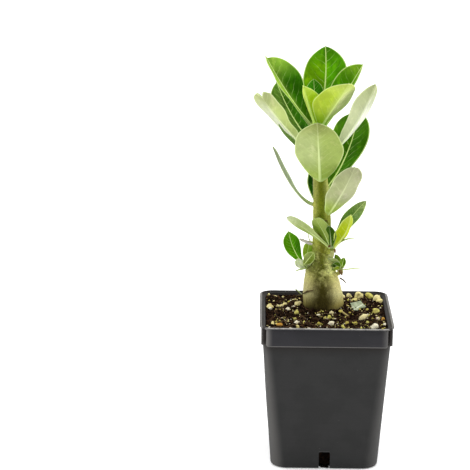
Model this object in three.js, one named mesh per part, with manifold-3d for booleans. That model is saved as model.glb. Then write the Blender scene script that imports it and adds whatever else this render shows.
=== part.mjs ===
// A young desert rose (adenium) in a square nursery pot, in millimetres, +Z up.
// The origin is the centre of the pot's underside. The drain slots face +X, -X, +Y and -Y.
// The stem stands a little behind the middle of the pot and leans a little towards -X.
import * as THREE from "three";
import { mergeVertices } from "three/addons/utils/BufferGeometryUtils.js";
import Module from "manifold-3d";

const wasm = await Module();
wasm.setup();

// Pot
const POT_HEIGHT = 114;
const LIP_HALF = 50; // half the width over the lip
const LIP_DEEP = 1.6; // height of the lip's edge
const PANEL_HALF = 48.8; // raised panel under the lip, outside face from the middle
const PANEL_REACH = 44.9; // half the length of a panel
const PANEL_LOW = 99;
const PANEL_CORNER = 1.6;
const BAND_HALF = 47.3; // wall behind the panels
const BASE_HALF = 40.7; // outside, just over the rounded bottom edge
const BODY_HALF = 47.5; // outside, just under the panels
const BASE_CORNER = 12; // corner radius at the bottom
const BODY_CORNER = 8; // corner radius under the panels
const WALL = 1.7;
const FLOOR = 2.0;
const BOTTOM_EDGE = 2.2;
const SLOT_WIDE = 8.4;
const SLOT_HIGH = 14;
const SLOT_IN = 6.5; // how far a slot runs in under the floor
const SLOT_CORNER = 1.6;

// Soil
const SOIL_FRONT = 108.6;
const SOIL_BACK = 111.0;
const SOIL_MOUND = 9.0; // at the middle of the stem
const MOUND_WIDE = 18.5;
const SOIL_RISE = 2.0; // how much higher it lies along the walls at the left and right
const CLEAR = 0.3; // room left between pieces that lie against each other

// Stem: height, middle in X, radius. The middle in Y is STEM_Y.
const STEM_Y = 12;
const STEM = [
  [88, -0.5, 6.0],
  [96, -0.5, 11.5],
  [103, -0.5, 14.9],
  [109, -0.6, 16.0],
  [113, -1.0, 15.7],
  [118, -1.5, 15.4],
  [125, -2.1, 14.8],
  [132, -2.8, 13.9],
  [138, -3.4, 12.5],
  [142.5, -3.6, 10.9],
  [146, -3.1, 9.3],
  [150, -2.8, 8.4],
  [157, -3.0, 7.6],
  [166, -3.2, 7.1],
  [178, -3.6, 6.9],
  [193, -4.2, 6.4],
  [206, -4.8, 5.9],
  [222, -5.8, 5.4],
  [238, -6.9, 4.9],
  [250, -7.8, 4.4],
  [256, -8.3, 3.8],
  [260, -8.6, 2.4],
];

// Leaves. from: where on the stem it grows, height and turn in degrees (0 is +X, 90 is +Y);
// root: a leaf of a side shoot grows from this point instead. tip: where it ends.
// bow: how far the middle of the leaf rises over the straight line; sway: the same, sideways.
// fold: how far each half is folded up, in degrees; roll: the whole blade turned on its midrib.
// a, b: how the width grows from the stalk and closes at the tip.
const LEAVES = {
  leaf_top_back: { from: [252, 86], tip: [-2.6, 36, 310], width: 34, sway: -2.5, fold: 8, a: 1.35, b: 0.78 },
  leaf_top_right: { from: [249, 5], tip: [25, 20, 299], width: 26, roll: 70, fold: 8, wideR: 0.2, a: 1.5, b: 0.75 },
  leaf_top_left: { from: [251, 158], tip: [-47, 36, 300.6], width: 36, bow: -2, foldL: 22, foldR: 30, a: 1.2, b: 0.58 },
  leaf_mid_left: { from: [236, 128], tip: [-39, 46, 280], width: 32, bow: -4, fold: 8, wideL: 1.1, a: 1.25, b: 0.75 },
  leaf_fold_left: { from: [231, 205], tip: [-52.3, -3, 281.7], width: 18, bow: -2, roll: 28, fold: 12, wideL: 1.1, wideR: 1.6, a: 1.4, b: 0.36 },
  leaf_front: { from: [209, 266], tip: [-10, -39, 266], width: 36, fold: 5, a: 1.0, b: 0.65 },
  leaf_young_right: { from: [253, 305], tip: [13.2, -16, 290.8], width: 36, foldL: 12, foldR: 28, wideR: 0.78, a: 1.1, b: 0.95 },
  leaf_young_left: { from: [254, 235], tip: [-19.6, -3, 286.5], width: 22, fold: 30, wideR: 0.7, a: 1.1, b: 0.9 },
  leaf_inner: { from: [258, 110], tip: [-11.5, 25, 286.8], width: 14, fold: 10, a: 1.6, b: 0.9 },
  leaf_fold_right: { from: [227, 330], tip: [33, -2, 288], width: 24, bow: -4, roll: -30, fold: 20, wideR: 0.95, a: 1.6, b: 0.6 },
  leaf_right: { from: [203, 40], tip: [24, 42, 258], width: 33, bow: -5, sway: -1, fold: 6, wideL: 0.92, a: 1.25, b: 0.6 },
  leaf_low_right: { from: [186, 325], tip: [19.1, -9, 227], width: 24.5, bow: -1.5, roll: -20, fold: 5, a: 0.78, b: 0.5 },
  leaf_low_left: { from: [193.5, 180], tip: [-41, 12, 236.8], width: 22, bow: -5.5, skew: 0.7, roll: 9, fold: 8, a: 1.25, b: 0.55 },
  leaf_low_back: { from: [190, 92], tip: [-3, 51, 219], width: 22, bow: -2, fold: 5, a: 0.85, b: 0.55 },
  leaf_hidden_back: { from: [222, 100], tip: [-13, 62, 250], width: 20, bow: 3, fold: 6, a: 1.25, b: 0.6 },
};

// Side shoots: the small leaves, and the little green heart that they all grow from.
const SHOOTS = {
  shoot_upper_right: {
    heart: [4.2, 4.6, 160.8, 2.1],
    leaves: [
      { root: [4, 6, 161], tip: [30, 18, 194.6], width: 13, bow: 2, roll: 25, fold: 6, a: 1.4, b: 0.8 },
      { root: [4.5, 5, 161], tip: [17.4, -2, 188.6], width: 16, bow: -3, roll: -20, fold: 20, a: 1.1, b: 0.8 },
      { root: [3.6, 2.0, 162], tip: [1.6, -3.4, 180.4], width: 8.8, bow: 1, roll: -10, fold: 10, a: 1.2, b: 0.8 },
      { root: [3, 3.6, 161.5], tip: [-9.2, 0, 185.4], width: 14, bow: 1, roll: 45, fold: 8, wideL: 0.88, a: 1.0, b: 0.5 },
      { root: [2.6, 3.2, 161.5], tip: [-30.2, 0, 186], width: 9.5, bow: 1, roll: 50, fold: 8, a: 1.6, b: 0.55 },
      { root: [6, 4.6, 161], tip: [20.5, 4, 169], width: 3.4, bow: 2, fold: 10, a: 1.0, b: 0.8 },
    ],
  },
  shoot_left: {
    heart: [-14.6, 8.0, 145.4, 2.2],
    leaves: [
      { root: [-14.2, 7, 144], tip: [-28.7, 12, 171.8], width: 13, bow: -2.7, roll: -65, fold: 10, a: 2.2, b: 0.95 },
      { root: [-14.8, 9.4, 146.5], tip: [-12.6, 12, 163], width: 8.6, bow: 1, roll: 50, fold: 14, a: 1.3, b: 0.55 },
      { root: [-14.8, 7.6, 144.8], tip: [-23.6, 4, 150.2], width: 7.6, roll: -60, fold: 10, a: 1.0, b: 0.5 },
      { root: [-14.4, 7, 144.4], tip: [-22.6, 3, 143.4], width: 3, fold: 5, a: 1.0, b: 0.8 },
      { root: [-16.6, 6.4, 147.4], tip: [-9.6, 1, 158.4], width: 8, roll: 105, fold: 12, a: 1.0, b: 0.7 },
    ],
  },
  shoot_right: {
    heart: [11.6, 9.2, 144.2, 1.5],
    leaves: [
      { root: [11, 9.8, 145], tip: [7.3, 9.6, 154.6], width: 5.4, roll: 60, fold: 12, a: 1.0, b: 0.8 },
      { root: [12, 9.2, 144.2], tip: [13.8, 9.6, 152.2], width: 5, roll: 70, fold: 14, a: 1.0, b: 0.8 },
      { root: [11.2, 8.6, 143.8], tip: [5.4, 3.4, 144.6], width: 5.4, roll: 50, fold: 14, a: 1.0, b: 0.6 },
      { root: [11.2, 8.6, 144.4], tip: [5.6, 3.2, 149.4], width: 6, roll: 50, fold: 14, a: 1.0, b: 0.6 },
      { root: [11.2, 8.4, 145], tip: [1.6, 1.6, 153.4], width: 5, bow: 1, roll: 40, fold: 14, a: 1.0, b: 0.7 },
      { root: [12.4, 9.2, 142.9], tip: [25.8, 9, 144.2], width: 2.2, fold: 4, a: 1.0, b: 0.8 },
    ],
  },
};

const LEAF_THICK = 0.8;
const SMALL_THICK = 0.62; // leaves of the side shoots and other small ones
const RIB_DEEP = 1.0; // how far the midrib stands out under a large leaf, at its root
const SMALL_RIB_DEEP = 0.35;
const SMALL_WIDTH = 16;

// Bark stubs and scars on the stem: x, y, z, radius
const STUBS = [
  [2.2, 6.3, 158.2, 2.9],
  [-1.5, 5.2, 155.6, 1.7],
  [-11.6, 9.6, 144.2, 3.0],
  [-8.8, 8.2, 150.5, 1.6],
  [6.4, 10, 145.4, 2.6],
  [9.0, 9.6, 143.4, 1.7],
  [11.4, 9.4, 141.2, 2.0],
  [9.9, 9.4, 139.6, 1.5],
];

// Granules lying in the soil that are large enough to stand out: x, y, radius
const GRANULES = [
  [-43, 10, 2.5],
  [-42, 5.5, 1.6],
  [-36, 16.5, 1.3],
  [-33, 16, 1.8],
  [-30.5, 19, 1.8],
  [-28.5, 6, 1.8],
  [-20.5, 14, 2.4],
  [-22, -2, 2.0],
  [-22, -21, 2.1],
  [-40.5, -29, 1.9],
  [-35, -29.5, 2.1],
  [-22, -32.5, 2.1],
  [-27, -37, 1.5],
  [-13, -37, 1.6],
  [3.5, -24.5, 2.6],
  [4.5, -7, 1.8],
  [3, -13, 1.7],
  [20, 43, 2.4],
  [27.5, 40, 3.4],
  [23.5, 30, 2.3],
  [36, 42, 3.1],
  [41, 32, 3.0],
  [43, 26, 2.3],
  [39, 3, 2.8],
  [28.5, -10.5, 3.2],
  [15.5, -21.5, 1.6],
  [22, -22.5, 1.6],
  [39.5, -12, 1.6],
  [43, -16, 1.7],
  [36, -32.5, 2.9],
  [44, -29.5, 1.5],
  [15, 37, 1.9],
  [-38, 38, 1.8],
  [-8, 40, 2.0],
  [8, 42, 1.8],
];
const CRUMBS = 10; // small ones strewn by chance
const CRUMB_FIELD = 82; // over a square this wide

// Loose things on the soil. The scrap's edge, and its middle that it is tilted about
const SCRAP_EDGE = [
  [19.5, 13.5],
  [23, 17],
  [28, 22.5],
  [30, 17.5],
  [31.5, 9],
  [29, 6.5],
  [26.5, 8.5],
  [24.5, 1.5],
  [22, 4],
  [20.5, 9],
];
const SCRAP_X = 25.5;
const SCRAP_Y = 11;
const SCRAP_THICK = 0.8;
const SCRAP_LIFT = 1.5; // underside over the soil, at its middle
// x, y and height over the soil of points along each
const STICK = [
  [10.7, -2.5, 1.2],
  [14.4, -6, 1.2],
  [18.2, -9.9, 0.9],
];
const TWIG = [
  [-11.5, 37.5, 2.4],
  [-14.5, 38.5, 2.0],
  [-18, 40, 1.5],
  [-22, 41, 1.2],
];
const STICK_THICK = 1.4;
const TWIG_THICK = 1.6;

// One stream of chance numbers, the same each time
let seed = 20917;
function chance() {
  seed = (seed * 16807) % 2147483647;
  return seed / 2147483647;
}

// Solids
function solid(geometry) {
  const g = geometry.clone();
  g.deleteAttribute("normal");
  g.deleteAttribute("uv");
  const m = mergeVertices(g, 1e-4);
  const vertProperties = new Float32Array(m.attributes.position.array);
  const triVerts = new Uint32Array(m.index.array);
  return new wasm.Manifold(new wasm.Mesh({ numProp: 3, vertProperties, triVerts }));
}
function geometryOf(s) {
  const m = s.getMesh();
  const g = new THREE.BufferGeometry();
  g.setAttribute("position", new THREE.BufferAttribute(new Float32Array(m.vertProperties), 3));
  g.setIndex(new THREE.BufferAttribute(new Uint32Array(m.triVerts), 1));
  g.computeVertexNormals();
  return g;
}

// A skin over a stack of closed rings, each with as many points as the next, capped at both ends.
function skin(rings) {
  const n = rings[0].length;
  const points = [];
  const index = [];
  for (const ring of rings) points.push(...ring);
  for (let k = 0; k + 1 < rings.length; k += 1) {
    for (let i = 0; i < n; i += 1) {
      const p = k * n + i;
      const q = k * n + ((i + 1) % n);
      index.push(p, q, q + n, p, q + n, p + n);
    }
  }
  const ends = [rings[0], rings[rings.length - 1]];
  ends.forEach((ring, e) => {
    const middle = new THREE.Vector3();
    for (const p of ring) middle.add(p);
    points.push(middle.divideScalar(n));
    const c = points.length - 1;
    const o = e === 0 ? 0 : (rings.length - 1) * n;
    for (let i = 0; i < n; i += 1) {
      const j = (i + 1) % n;
      if (e === 0) index.push(c, o + j, o + i);
      else index.push(c, o + i, o + j);
    }
  });
  const g = new THREE.BufferGeometry().setFromPoints(points);
  g.setIndex(index);
  return g;
}

// A square ring with rounded corners, counterclockwise from +X, with bulging sides.
const CORNER_STEPS = 5;
const SIDE_STEPS = 2;
function squareRing(half, radius, z, bulge = 0) {
  const ring = [];
  const flat = half - radius;
  for (let side = 0; side < 4; side += 1) {
    const turn = (side * Math.PI) / 2;
    const put = (x, y) => {
      const c = Math.round(Math.cos(turn));
      const s = Math.round(Math.sin(turn));
      ring.push(new THREE.Vector3(x * c - y * s, x * s + y * c, z));
    };
    for (let i = 0; i < SIDE_STEPS; i += 1) {
      const t = -1 + (2 * i) / SIDE_STEPS;
      put(half + bulge * (1 - t * t), t * flat);
    }
    for (let i = 0; i < CORNER_STEPS; i += 1) {
      const a = (i / CORNER_STEPS) * (Math.PI / 2);
      put(flat + radius * Math.cos(a), flat + radius * Math.sin(a));
    }
  }
  return ring;
}

// Half width and corner radius of the pot's outside at a height, under the band
function potHalf(z) {
  return THREE.MathUtils.lerp(BASE_HALF, BODY_HALF, (z - BOTTOM_EDGE) / (PANEL_LOW - BOTTOM_EDGE));
}
function potRadius(z) {
  return THREE.MathUtils.lerp(BASE_CORNER, BODY_CORNER, z / PANEL_LOW);
}

// Pot: a solid up to the top of the lip, and the hollow that is taken out of it
const potRings = [];
for (const a of [0, 30, 60, 90]) {
  const r = THREE.MathUtils.degToRad(a);
  const inset = BOTTOM_EDGE * (1 - Math.sin(r));
  const z = BOTTOM_EDGE * (1 - Math.cos(r));
  potRings.push(squareRing(BASE_HALF - inset, BASE_CORNER - inset * 0.6, z));
}
potRings.push(squareRing(potHalf(30), potRadius(30), 30, 0.6));
potRings.push(squareRing(potHalf(65), potRadius(65), 65, 0.9));
potRings.push(squareRing(potHalf(PANEL_LOW - 1), 8, PANEL_LOW - 1, 0.3));
potRings.push(squareRing(BAND_HALF, 7.6, PANEL_LOW + 1));
potRings.push(squareRing(BAND_HALF, 7.4, POT_HEIGHT - LIP_DEEP - 0.6));
potRings.push(squareRing(LIP_HALF - 0.5, 7.5, POT_HEIGHT - LIP_DEEP - 0.1));
potRings.push(squareRing(LIP_HALF, 7.5, POT_HEIGHT - LIP_DEEP + 0.4));
potRings.push(squareRing(LIP_HALF, 7.5, POT_HEIGHT - 0.4));
potRings.push(squareRing(LIP_HALF - 0.5, 7.3, POT_HEIGHT));
const hollowRings = [
  squareRing(BASE_HALF - WALL - 1.6, 9, FLOOR),
  squareRing(potHalf(20) - WALL, 10, 20),
  squareRing(potHalf(PANEL_LOW) - WALL, 6.6, PANEL_LOW),
  squareRing(BAND_HALF - WALL, 6.2, POT_HEIGHT - LIP_DEEP - 0.8),
  squareRing(LIP_HALF - 2.5, 6.2, POT_HEIGHT - 0.8),
  squareRing(LIP_HALF - 1.9, 6.6, POT_HEIGHT + 0.05),
];

// Raised panels under the lip, one on each side, with rounded lower corners
function panel() {
  const low = PANEL_LOW;
  const high = POT_HEIGHT - LIP_DEEP + 0.2;
  const shape = new THREE.Shape();
  shape.moveTo(-PANEL_REACH, high);
  shape.lineTo(-PANEL_REACH, low + PANEL_CORNER);
  shape.quadraticCurveTo(-PANEL_REACH, low, -PANEL_REACH + PANEL_CORNER, low);
  shape.lineTo(PANEL_REACH - PANEL_CORNER, low);
  shape.quadraticCurveTo(PANEL_REACH, low, PANEL_REACH, low + PANEL_CORNER);
  shape.lineTo(PANEL_REACH, high);
  shape.closePath();
  const g = new THREE.ExtrudeGeometry(shape, {
    depth: 4.4,
    bevelEnabled: true,
    bevelThickness: 0.7,
    bevelSize: 0.5,
    bevelOffset: -0.5,
    bevelSegments: 1,
    curveSegments: 3,
  });
  g.rotateX(Math.PI / 2); // drawn upright, thick towards -Y
  g.translate(0, -(PANEL_HALF - 0.7 - 4.4), 0);
  return g;
}
function slotCutter() {
  const w = SLOT_WIDE / 2;
  const shape = new THREE.Shape();
  shape.moveTo(-w, -2);
  shape.lineTo(w, -2);
  shape.lineTo(w, SLOT_HIGH - SLOT_CORNER);
  shape.quadraticCurveTo(w, SLOT_HIGH, w - SLOT_CORNER, SLOT_HIGH);
  shape.lineTo(-w + SLOT_CORNER, SLOT_HIGH);
  shape.quadraticCurveTo(-w, SLOT_HIGH, -w, SLOT_HIGH - SLOT_CORNER);
  shape.closePath();
  const g = new THREE.ExtrudeGeometry(shape, { depth: SLOT_IN + 8, bevelEnabled: false, curveSegments: 3 });
  g.rotateX(Math.PI / 2);
  g.translate(0, -(BASE_HALF - SLOT_IN), 0);
  return g;
}
let pot = solid(skin(potRings));
for (let side = 0; side < 4; side += 1) {
  pot = pot.add(solid(panel().rotateZ((side * Math.PI) / 2)));
}
pot = pot.subtract(solid(skin(hollowRings)));
for (let side = 0; side < 4; side += 1) {
  pot = pot.subtract(solid(slotCutter().rotateZ((side * Math.PI) / 2)));
}

// Stem: round rings, cut off flat at both ends
function stemAt(z) {
  let k = 0;
  while (k < STEM.length - 2 && z > STEM[k + 1][0]) k += 1;
  const t = (z - STEM[k][0]) / (STEM[k + 1][0] - STEM[k][0]);
  const x = THREE.MathUtils.lerp(STEM[k][1], STEM[k + 1][1], t);
  const r = THREE.MathUtils.lerp(STEM[k][2], STEM[k + 1][2], t);
  return { x, r };
}
function stemSkin(more) {
  const rings = STEM.map(([z, x, r], k) => {
    const ring = [];
    const end = k === 0 ? -more : k === STEM.length - 1 ? more : 0;
    for (let i = 0; i < 20; i += 1) {
      const a = (i / 20) * 2 * Math.PI;
      const wave = 1 + 0.02 * Math.sin(3 * a + z * 0.05) + 0.015 * Math.sin(5 * a - z * 0.09);
      const q = r * wave + more;
      ring.push(new THREE.Vector3(x + q * Math.cos(a), STEM_Y + q * Math.sin(a), z + end));
    }
    return ring;
  });
  return skin(rings);
}
function ball(x, y, z, r, detail = 1) {
  return solid(new THREE.IcosahedronGeometry(r, detail).translate(x, y, z));
}
function stemSolid(more) {
  let s = solid(stemSkin(more));
  for (const [x, y, z, r] of STUBS) s = s.add(ball(x, y, z, r + more));
  return s;
}
const stem = stemSolid(0);
const stemRoom = stemSolid(CLEAR);

// Soil: fills the pot, lower at the front, heaped round the stem, with a rough top
function roughness(x, y) {
  const a = Math.sin(x * 0.83 + 1.3) * Math.cos(y * 0.71 - 0.4);
  const b = Math.sin(x * 1.71 - y * 1.37 + 2.1);
  return 0.5 * a + 0.3 * b;
}
function soilTop(x, y) {
  const slope = THREE.MathUtils.lerp(SOIL_FRONT, SOIL_BACK, (y + 46) / 92);
  const d = Math.hypot(x + 1, y - STEM_Y);
  const rise = SOIL_RISE * THREE.MathUtils.smoothstep(Math.abs(x), 36, 45);
  return slope + SOIL_MOUND * Math.exp(-((d / MOUND_WIDE) ** 2)) + rise + roughness(x, y);
}
const soilRings = [
  squareRing(BASE_HALF - WALL - 1.6 - CLEAR, 8.7, FLOOR + CLEAR),
  squareRing(potHalf(20) - WALL - CLEAR, 9.7, 20),
  squareRing(potHalf(PANEL_LOW) - WALL - CLEAR, 6.3, PANEL_LOW),
];
const SOIL_EDGE = BAND_HALF - WALL - CLEAR;
for (let k = 0; k < 7; k += 1) {
  const half = SOIL_EDGE * (1 - k / 7.5);
  const ring = squareRing(half, 6 + (half - 6) * (k / 7), 0);
  for (const p of ring) {
    p.z = soilTop(p.x, p.y) - (k === 0 ? 0.8 : 0);
    if (k > 0) {
      p.x += (chance() - 0.5) * 1.2;
      p.y += (chance() - 0.5) * 1.2;
    }
  }
  soilRings.push(ring);
}
let soil = solid(skin(soilRings));
function lump(x, y, r, detail) {
  const g = new THREE.IcosahedronGeometry(r, detail);
  const flat = 0.72 + 0.2 * chance();
  const long = 0.9 + 0.3 * chance();
  g.scale(long, 1, flat);
  g.rotateZ(chance() * 6.28);
  g.rotateX((chance() - 0.5) * 0.8);
  return solid(g.translate(x, y, soilTop(x, y) + r * 0.25));
}
for (const [x, y, r] of GRANULES) {
  const lim = SOIL_EDGE - r - 0.4;
  const gx = THREE.MathUtils.clamp(x, -lim, lim);
  const gy = THREE.MathUtils.clamp(y, -lim, lim);
  soil = soil.add(lump(gx, gy, r, r > 3 ? 1 : 0));
}
for (let made = 0; made < CRUMBS; ) {
  const x = (chance() - 0.5) * CRUMB_FIELD;
  const y = (chance() - 0.5) * CRUMB_FIELD;
  const away = Math.hypot(x + 1, y - STEM_Y) > 20;
  const inPot = Math.hypot(Math.max(0, Math.abs(x) - 34), Math.max(0, Math.abs(y) - 34)) < 8;
  if (!away || !inPot) continue;
  soil = soil.add(lump(x, y, 0.9 + 0.6 * chance(), 0));
  made += 1;
}
soil = soil.subtract(stemRoom);

// Leaves
function leafWidth(s, leaf) {
  const { a, b } = leaf;
  const m = a / (a + b);
  const g = (s ** a * (1 - s) ** b) / (m ** a * (1 - m) ** b);
  return (leaf.width / 2) * g + Math.min(1.1, leaf.width * 0.11) * (1 - s) ** 3 + 0.35 * s ** 8;
}
function leafRoot(leaf) {
  if (leaf.root) return new THREE.Vector3(...leaf.root);
  const [z, turn] = leaf.from;
  const { x, r } = stemAt(z);
  const a = THREE.MathUtils.degToRad(turn);
  return new THREE.Vector3(x + (r - 1.2) * Math.cos(a), STEM_Y + (r - 1.2) * Math.sin(a), z);
}
function leafFrame(leaf, s) {
  const root = leafRoot(leaf);
  const chord = new THREE.Vector3(...leaf.tip).sub(root);
  const side = new THREE.Vector3(-chord.y, chord.x, 0).normalize();
  const over = chord.clone().normalize().cross(side);
  const off = over.multiplyScalar(leaf.bow || 0).addScaledVector(side, leaf.sway || 0);
  const point = (t) => {
    const u = Math.max(t, 0) ** (leaf.skew || 1);
    return root.clone().addScaledVector(chord, t).addScaledVector(off, 4 * u * (1 - u));
  };
  const along = point(Math.min(s + 0.01, 1)).sub(point(Math.max(s - 0.01, 0))).normalize();
  const across = side.addScaledVector(along, -side.dot(along)).normalize();
  const up = along.clone().cross(across);
  const r = THREE.MathUtils.degToRad(leaf.roll || 0);
  const t = across.clone().multiplyScalar(Math.cos(r)).addScaledVector(up, Math.sin(r));
  const n = up.multiplyScalar(Math.cos(r)).addScaledVector(across, -Math.sin(r));
  return { at: point(s), t, n };
}
function leafSolid(leaf, ns, nv) {
  const h = nv / 2;
  const mid = [];
  for (let i = 0; i <= ns; i += 1) {
    const s = i / ns;
    const { at, t, n } = leafFrame(leaf, s);
    const w = leafWidth(s, leaf);
    const row = new Array(nv + 1);
    for (const side of [1, -1]) {
      const fold = (side > 0 ? leaf.foldL : leaf.foldR) ?? leaf.fold ?? 0;
      const wide = w * ((side > 0 ? leaf.wideL : leaf.wideR) ?? 1);
      const f = THREE.MathUtils.degToRad(fold);
      for (let j = 0; j <= h; j += 1) {
        const p = at.clone().addScaledVector(t, (side * wide * Math.cos(f) * j) / h);
        row[h + side * j] = p.addScaledVector(n, (wide * Math.sin(f) * j) / h);
      }
    }
    mid.push(row);
  }
  // Upper and lower face: half the thickness off the middle sheet, with a rib under the midrib
  const small = leaf.width < SMALL_WIDTH;
  const thick = small ? SMALL_THICK : LEAF_THICK;
  const rib = small ? SMALL_RIB_DEEP : RIB_DEEP;
  const points = [];
  const upper = (i, j) => i * (nv + 1) + j;
  const lower = (i, j) => (ns + 1) * (nv + 1) + upper(i, j);
  const lows = [];
  for (let i = 0; i <= ns; i += 1) {
    for (let j = 0; j <= nv; j += 1) {
      const a = mid[Math.min(i + 1, ns)][j].clone().sub(mid[Math.max(i - 1, 0)][j]);
      const b = mid[i][Math.min(j + 1, nv)].clone().sub(mid[i][Math.max(j - 1, 0)]);
      const n = a.cross(b).normalize();
      points.push(mid[i][j].clone().addScaledVector(n, thick / 2));
      const extra = j === h ? rib * (1 - 0.75 * (i / ns)) : 0;
      lows.push(mid[i][j].clone().addScaledVector(n, -thick / 2 - extra));
    }
  }
  points.push(...lows);
  const index = [];
  const quad = (p, q, r, s) => index.push(p, q, r, p, r, s);
  for (let i = 0; i < ns; i += 1) {
    for (let j = 0; j < nv; j += 1) {
      quad(upper(i, j), upper(i + 1, j), upper(i + 1, j + 1), upper(i, j + 1));
      const [p, q, r, s] = [lower(i, j), lower(i + 1, j), lower(i + 1, j + 1), lower(i, j + 1)];
      index.push(p, r, q, p, s, r);
    }
    quad(upper(i, 0), lower(i, 0), lower(i + 1, 0), upper(i + 1, 0));
    quad(upper(i + 1, nv), lower(i + 1, nv), lower(i, nv), upper(i, nv));
  }
  for (let j = 0; j < nv; j += 1) {
    quad(upper(0, j + 1), lower(0, j + 1), lower(0, j), upper(0, j));
    quad(upper(ns, j), lower(ns, j), lower(ns, j + 1), upper(ns, j + 1));
  }
  const g = new THREE.BufferGeometry().setFromPoints(points);
  g.setIndex(index);
  return solid(g);
}

// Looks
const looks = {
  pot: { color: 0x38383a, roughness: 0.5, metalness: 0 },
  soil: { color: 0x2e1f18, roughness: 0.95, metalness: 0 },
  bark: { color: 0x8c8548, roughness: 0.55, metalness: 0 },
  leaf: { color: 0x3c7a1e, roughness: 0.4, metalness: 0 },
  young: { color: 0xa5c23a, roughness: 0.45, metalness: 0 },
  dry: { color: 0xb9bd8c, roughness: 0.8, metalness: 0 },
};
const group = new THREE.Group();
group.name = "potted_desert_rose";
function place(name, s, look) {
  const mesh = new THREE.Mesh(geometryOf(s), new THREE.MeshStandardMaterial(looks[look]));
  mesh.name = name;
  group.add(mesh);
}
function largest(s) {
  const parts = s.decompose().sort((p, q) => q.volume() - p.volume());
  return parts[0];
}
place("pot", pot, "pot");
place("soil", largest(soil), "soil");
place("caudex_stem", stem, "bark");
for (const [name, leaf] of Object.entries(LEAVES)) {
  const s = leafSolid(leaf, leaf.width < SMALL_WIDTH ? 8 : 12, 4).subtract(stemRoom);
  place(name, largest(s), name.includes("young") ? "young" : "leaf");
}
for (const [name, shoot] of Object.entries(SHOOTS)) {
  const [x, y, z, r] = shoot.heart;
  let s = ball(x, y, z, r);
  for (const leaf of shoot.leaves) {
    const tiny = leaf.width < 6;
    s = s.add(leafSolid(leaf, tiny ? 5 : 7, tiny ? 2 : 4));
  }
  place(name, largest(s.subtract(stemRoom)), "leaf");
}

// Loose things on the soil, lifted clear of it where they lie on it
const soilRoom = soil.translate([0, 0, CLEAR]);
function onSoil(s) {
  return largest(s.subtract(soilRoom).subtract(stemRoom));
}
function rod(points, r) {
  const path = new THREE.CatmullRomCurve3(points.map((p) => new THREE.Vector3(...p)));
  const round = new THREE.Shape().absarc(0, 0, r, 0, 2 * Math.PI);
  const opts = { steps: 6, bevelEnabled: false, extrudePath: path, curveSegments: 4 };
  return solid(new THREE.ExtrudeGeometry(round, opts));
}
const scrapShape = new THREE.Shape(SCRAP_EDGE.map(([x, y]) => new THREE.Vector2(x, y)));
const scrapFlat = new THREE.ExtrudeGeometry(scrapShape, { depth: SCRAP_THICK, bevelEnabled: false });
scrapFlat.translate(-SCRAP_X, -SCRAP_Y, 0);
scrapFlat.rotateX(0.05);
scrapFlat.rotateY(0.04);
scrapFlat.translate(SCRAP_X, SCRAP_Y, soilTop(SCRAP_X, SCRAP_Y) + SCRAP_LIFT);
place("fallen_leaf_scrap", onSoil(solid(scrapFlat)), "dry");
function lying(points, r) {
  return onSoil(rod(points.map(([x, y, lift]) => [x, y, soilTop(x, y) + lift]), r));
}
place("dry_stick", lying(STICK, STICK_THICK / 2), "dry");
place("dry_twig", lying(TWIG, TWIG_THICK / 2), "dry");

export default group;
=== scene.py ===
"""A young desert rose in a square nursery pot, finished around the fixed frame of its parts.

Sizes are in millimetres in the tables and formulas below, and in metres in the meshes.
The origin is the middle of the pot's underside, +Z is up, and the camera looks along +Y.
"""

import math
import random
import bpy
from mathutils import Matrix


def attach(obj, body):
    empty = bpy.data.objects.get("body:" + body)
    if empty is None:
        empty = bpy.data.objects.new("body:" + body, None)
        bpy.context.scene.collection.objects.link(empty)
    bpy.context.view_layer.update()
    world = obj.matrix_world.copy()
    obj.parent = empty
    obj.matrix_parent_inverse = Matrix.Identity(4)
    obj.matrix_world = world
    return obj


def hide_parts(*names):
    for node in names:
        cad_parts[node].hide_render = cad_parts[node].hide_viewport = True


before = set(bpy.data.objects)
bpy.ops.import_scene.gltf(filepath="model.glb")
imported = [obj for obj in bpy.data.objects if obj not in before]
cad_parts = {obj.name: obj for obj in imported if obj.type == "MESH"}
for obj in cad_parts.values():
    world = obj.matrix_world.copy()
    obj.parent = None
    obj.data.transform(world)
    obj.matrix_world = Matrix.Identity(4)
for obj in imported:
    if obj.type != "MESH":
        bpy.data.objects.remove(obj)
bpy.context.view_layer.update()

from types import SimpleNamespace

import bmesh
import bpy
import numpy as np
from bpy.props import FloatProperty, FloatVectorProperty, IntProperty, PointerProperty
from mathutils import Matrix, Vector, noise

bl_info = {
    "name": "Potted desert rose",
    "version": (1, 0, 0),
    "blender": (4, 5, 0),
    "location": "View3D > Sidebar > Desert rose",
    "description": "Models a young desert rose in its nursery pot, from leaf veins to soil crumbs",
    "category": "Add Mesh",
}

MM = 0.001
BODY = "root"

# Pot
WALL = 1.7
PANEL_HALF = 48.8  # outside face of a raised panel, from the middle
PANEL_REACH = 44.9  # half the length of a panel
PANEL_LOW = 99.0
PANEL_DEEP = 2.6
BAND_HALF = 47.3  # wall behind the panels
BASE_HALF = 40.7  # outside, just over the rounded bottom edge
BODY_HALF = 47.5  # outside, just under the panels
BASE_CORNER = 12.0
BODY_CORNER = 8.0
FLOOR = 2.0
LIP_DEEP = 1.6
BOTTOM_EDGE = 2.2
SLOT_WIDE = 8.4
SLOT_HIGH = 14.0
SLOT_IN = 6.5
CLEAR = 0.3  # room left between pieces that lie against each other

# Soil
SOIL_FRONT = 108.6
SOIL_BACK = 111.0
SOIL_MOUND = 9.0  # at the middle of the stem
MOUND_WIDE = 18.5
SOIL_RISE = 2.0  # how much higher it lies along the walls at the left and right
SOIL_EDGE = BAND_HALF - WALL - CLEAR
SOIL_CORNER = 6.0
SLOT_CRUMBS = 26  # peat washed into each drain slot
LARGE_CRUMB = 1.1  # from this reach on, a crumb has a finer form

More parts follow.
